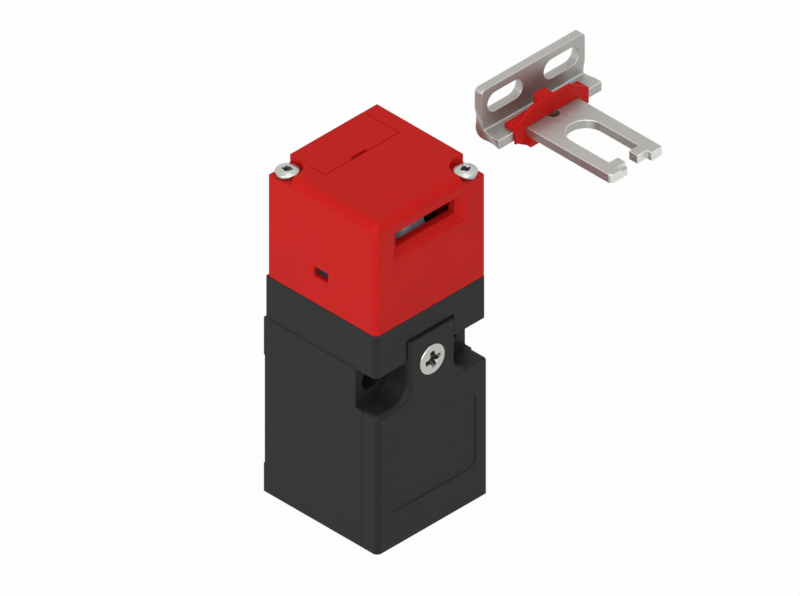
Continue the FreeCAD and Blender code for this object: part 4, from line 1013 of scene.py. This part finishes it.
@dataclass
class Key:
    """The loose key: a bent steel plate with its hooked tongue, and the moulded guide on it.

    Args:
        finishes: the materials.
        sheet_edge: the deburred rounding of the sheet's edges.
        guide_edge: the rounding of the guide's edges.
        sheet: the plate's thickness.
        tongue_edge_highlight: the painted highlight on the tongue's rounded edges: 0 is the sheet's own
            colour, 1 the full highlight.
        flange_edge_highlight: the painted highlight on the flange's rounded edges.
        side: the painted highlight on the faces that face along X.
    """

    finishes: Finishes
    sheet_edge: float = 0.12 * MM
    guide_edge: float = 0.12 * MM
    sheet: float = 2.0 * MM
    tongue_edge_highlight: float = 0.8
    flange_edge_highlight: float = 0.3
    side: float = 0.25

    def build(self) -> None:
        """Makes the key's pieces."""
        plate = softened("key_plate", self.sheet_edge)
        self.paint_highlights(plate)
        self.finishes.dress(plate, Slot.KEY)
        self.finishes.dress(softened("key_guide", self.guide_edge), Slot.RED)

    def paint_highlights(self, plate: bpy.types.Object) -> None:
        """Paints highlights onto the plate: its rounded edges, its tips and its faces that face along X.

        The tips get the full painted highlight. A face that is part of a rim as well takes the larger of its
        two marks.

        Args:
            plate: the plate with its rounded edges, which are marked already.
        """
        count = len(plate.data.polygons)
        normals, centres, marks = np.empty(count * 3), np.empty(count * 3), np.empty(count)
        layer = plate.data.attributes[PAINTED_LIGHT].data
        plate.data.polygons.foreach_get("normal", normals)
        plate.data.polygons.foreach_get("center", centres)
        layer.foreach_get("value", marks)
        normals, centres = normals.reshape(-1, 3), centres.reshape(-1, 3)
        along, facing = centres[:, 1], 0.7
        # Painted highlights: the tips brightest, the tongue's rounded edges more than the flange's, the
        # X-facing sides least.
        tips = (np.abs(normals[:, 1]) > facing) & (along < along.min() + 2 * self.sheet)
        sides = np.abs(normals[:, 0]) > facing
        rims = marks * np.where(along < along.max() - 2 * self.sheet, self.tongue_edge_highlight, self.flange_edge_highlight)
        bright = np.maximum(rims, np.where(tips, 1.0, np.where(sides, self.side, 0.0)))
        layer.foreach_set("value", bright.astype(np.float32))
        LOG.info("%s: %d bright faces of %d", plate.name, int((bright > 0).sum()), count)


# ---------------------------------------------------------------- studio


@dataclass(frozen=True)
class Lamp:
    """A square soft lamp that faces the object.

    Args:
        name: the lamp's name.
        place: where it stands.
        size: its side.
        power: its power, in watts.
    """

    name: str
    place: Triple
    size: float
    power: float

    def hang(self, target: Vector) -> None:
        """Puts the lamp up.

        Args:
            target: the point that it faces.
        """
        light = bpy.data.lights.new(self.name, "AREA")
        light.size = self.size
        light.energy = self.power
        thing = bpy.data.objects.new(self.name, light)
        thing.location = self.place
        toward = (target - Vector(self.place)).normalized()
        thing.rotation_mode = "QUATERNION"
        thing.rotation_quaternion = toward.to_track_quat("-Z", "Y")
        bpy.context.scene.collection.objects.link(thing)


@dataclass
class Studio:
    """The camera, the pale floor, the light from all round and the soft lamps.

    Args:
        target: the point in the middle of the picture.
        azimuth: the camera's turn from looking along +Y, in degrees.
        elevation: the camera's height above the horizon, in degrees.
        width: the picture's width at the object.
        distance: the camera's distance.
        fill: the strength of the even light from all round.
        own: the share of the floor's brightness that it shows by itself where it is looked at.
    """

    LAMPS = (
        Lamp("side_lamp", place=(-0.75, -0.1, 0.35), size=0.4, power=2.4),
        Lamp("top_lamp", place=(0.05, -0.1, 0.9), size=0.5, power=1.8),
        Lamp("front_lamp", place=(-0.42, -0.5, 0.5), size=0.25, power=1.8),
    )

    target: Vector = field(default_factory=lambda: Vector((9.21 * MM, 2.77 * MM, 40.0 * MM)))
    azimuth: float = -45.0
    elevation: float = 35.2644
    width: float = 154.4 * MM
    distance: float = 0.8
    fill: float = 0.47
    own: float = 0.95

    def camera(self) -> None:
        """Makes the parallel camera."""
        turn, rise = math.radians(self.azimuth), math.radians(self.elevation)
        back = Vector((math.sin(turn) * math.cos(rise), -math.cos(turn) * math.cos(rise), math.sin(rise)))
        lens = bpy.data.cameras.new("camera")
        lens.type = "ORTHO"
        lens.ortho_scale = self.width
        lens.clip_start = 0.01
        lens.clip_end = 10.0
        eye = bpy.data.objects.new("camera", lens)
        eye.rotation_mode = "QUATERNION"
        eye.location = self.target + back * self.distance
        eye.rotation_quaternion = (-back).to_track_quat("-Z", "Y")
        bpy.context.scene.collection.objects.link(eye)
        bpy.context.scene.camera = eye
        bpy.context.scene.view_settings.view_transform = "Standard"

    def seen(self, tree: bpy.types.NodeTree) -> Socket:
        """One where the camera, a mirror or glass looks, and zero for light that falls on things.

        Args:
            tree: the node tree that gets the nodes.

        Returns:
            The factor.
        """
        path = tree.nodes.new("ShaderNodeLightPath")
        total = path.outputs["Is Camera Ray"]
        for name in ("Is Glossy Ray", "Is Transmission Ray"):
            adder = tree.nodes.new("ShaderNodeMath")
            adder.operation = "MAXIMUM"
            tree.links.new(total, adder.inputs[0])
            tree.links.new(path.outputs[name], adder.inputs[1])
            total = adder.outputs[0]
        return total

    def world(self) -> None:
        """The even light from all round, seen as white."""
        sky = bpy.data.worlds.new("studio")
        sky.use_nodes = True
        bpy.context.scene.world = sky
        tree = sky.node_tree
        tree.nodes.clear()
        lit = tree.nodes.new("ShaderNodeBackground")
        shown = tree.nodes.new("ShaderNodeBackground")
        mix = tree.nodes.new("ShaderNodeMixShader")
        out = tree.nodes.new("ShaderNodeOutputWorld")
        lit.inputs["Strength"].default_value = self.fill
        lit.inputs["Color"].default_value = WHITE
        shown.inputs["Color"].default_value = WHITE
        tree.links.new(self.seen(tree), mix.inputs[0])
        tree.links.new(lit.outputs[0], mix.inputs[1])
        tree.links.new(shown.outputs[0], mix.inputs[2])
        tree.links.new(mix.outputs[0], out.inputs[0])

    def floor(self) -> None:
        """The white floor, which keeps a faint shadow."""
        half, level = 3.0, -0.05 * MM
        points = [(x * half, y * half, level) for x, y in ((-1, -1), (1, -1), (1, 1), (-1, 1))]
        mesh = bpy.data.meshes.new("floor")
        mesh.from_pydata(points, [], [(0, 1, 2, 3)])
        plane = bpy.data.objects.new("floor", mesh)
        bpy.context.scene.collection.objects.link(plane)
        material = bpy.data.materials.new("floor_white")
        material.use_nodes = True
        tree = material.node_tree
        tree.nodes.clear()
        paper = tree.nodes.new("ShaderNodeBsdfDiffuse")
        paper.inputs["Color"].default_value = (0.9, 0.9, 0.9, 1)
        glow = tree.nodes.new("ShaderNodeEmission")
        glow.inputs["Color"].default_value = WHITE
        mix = tree.nodes.new("ShaderNodeMixShader")
        scaled = tree.nodes.new("ShaderNodeMath")
        scaled.operation = "MULTIPLY"
        scaled.inputs[1].default_value = self.own
        out = tree.nodes.new("ShaderNodeOutputMaterial")
        tree.links.new(self.seen(tree), scaled.inputs[0])
        tree.links.new(scaled.outputs[0], mix.inputs[0])
        tree.links.new(paper.outputs[0], mix.inputs[1])
        tree.links.new(glow.outputs[0], mix.inputs[2])
        tree.links.new(mix.outputs[0], out.inputs[0])
        mesh.materials.append(material)

    def build(self) -> None:
        """Sets the studio up."""
        self.camera()
        self.world()
        self.floor()
        for lamp in self.LAMPS:
            lamp.hang(self.target)


def main() -> None:
    """Builds the studio and every sub-assembly in order."""
    logging.basicConfig(level=logging.INFO, format="%(name)s: %(message)s")
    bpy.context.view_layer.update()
    Studio().build()
    finishes = Finishes()
    finishes.dress_frame()
    for assembly in (Housing, Head, CamWheel, PlungerTrain, Contacts, Key):
        assembly(finishes).build()
        LOG.info("%s done", assembly.__name__)


if __name__ == "__main__":
    main()
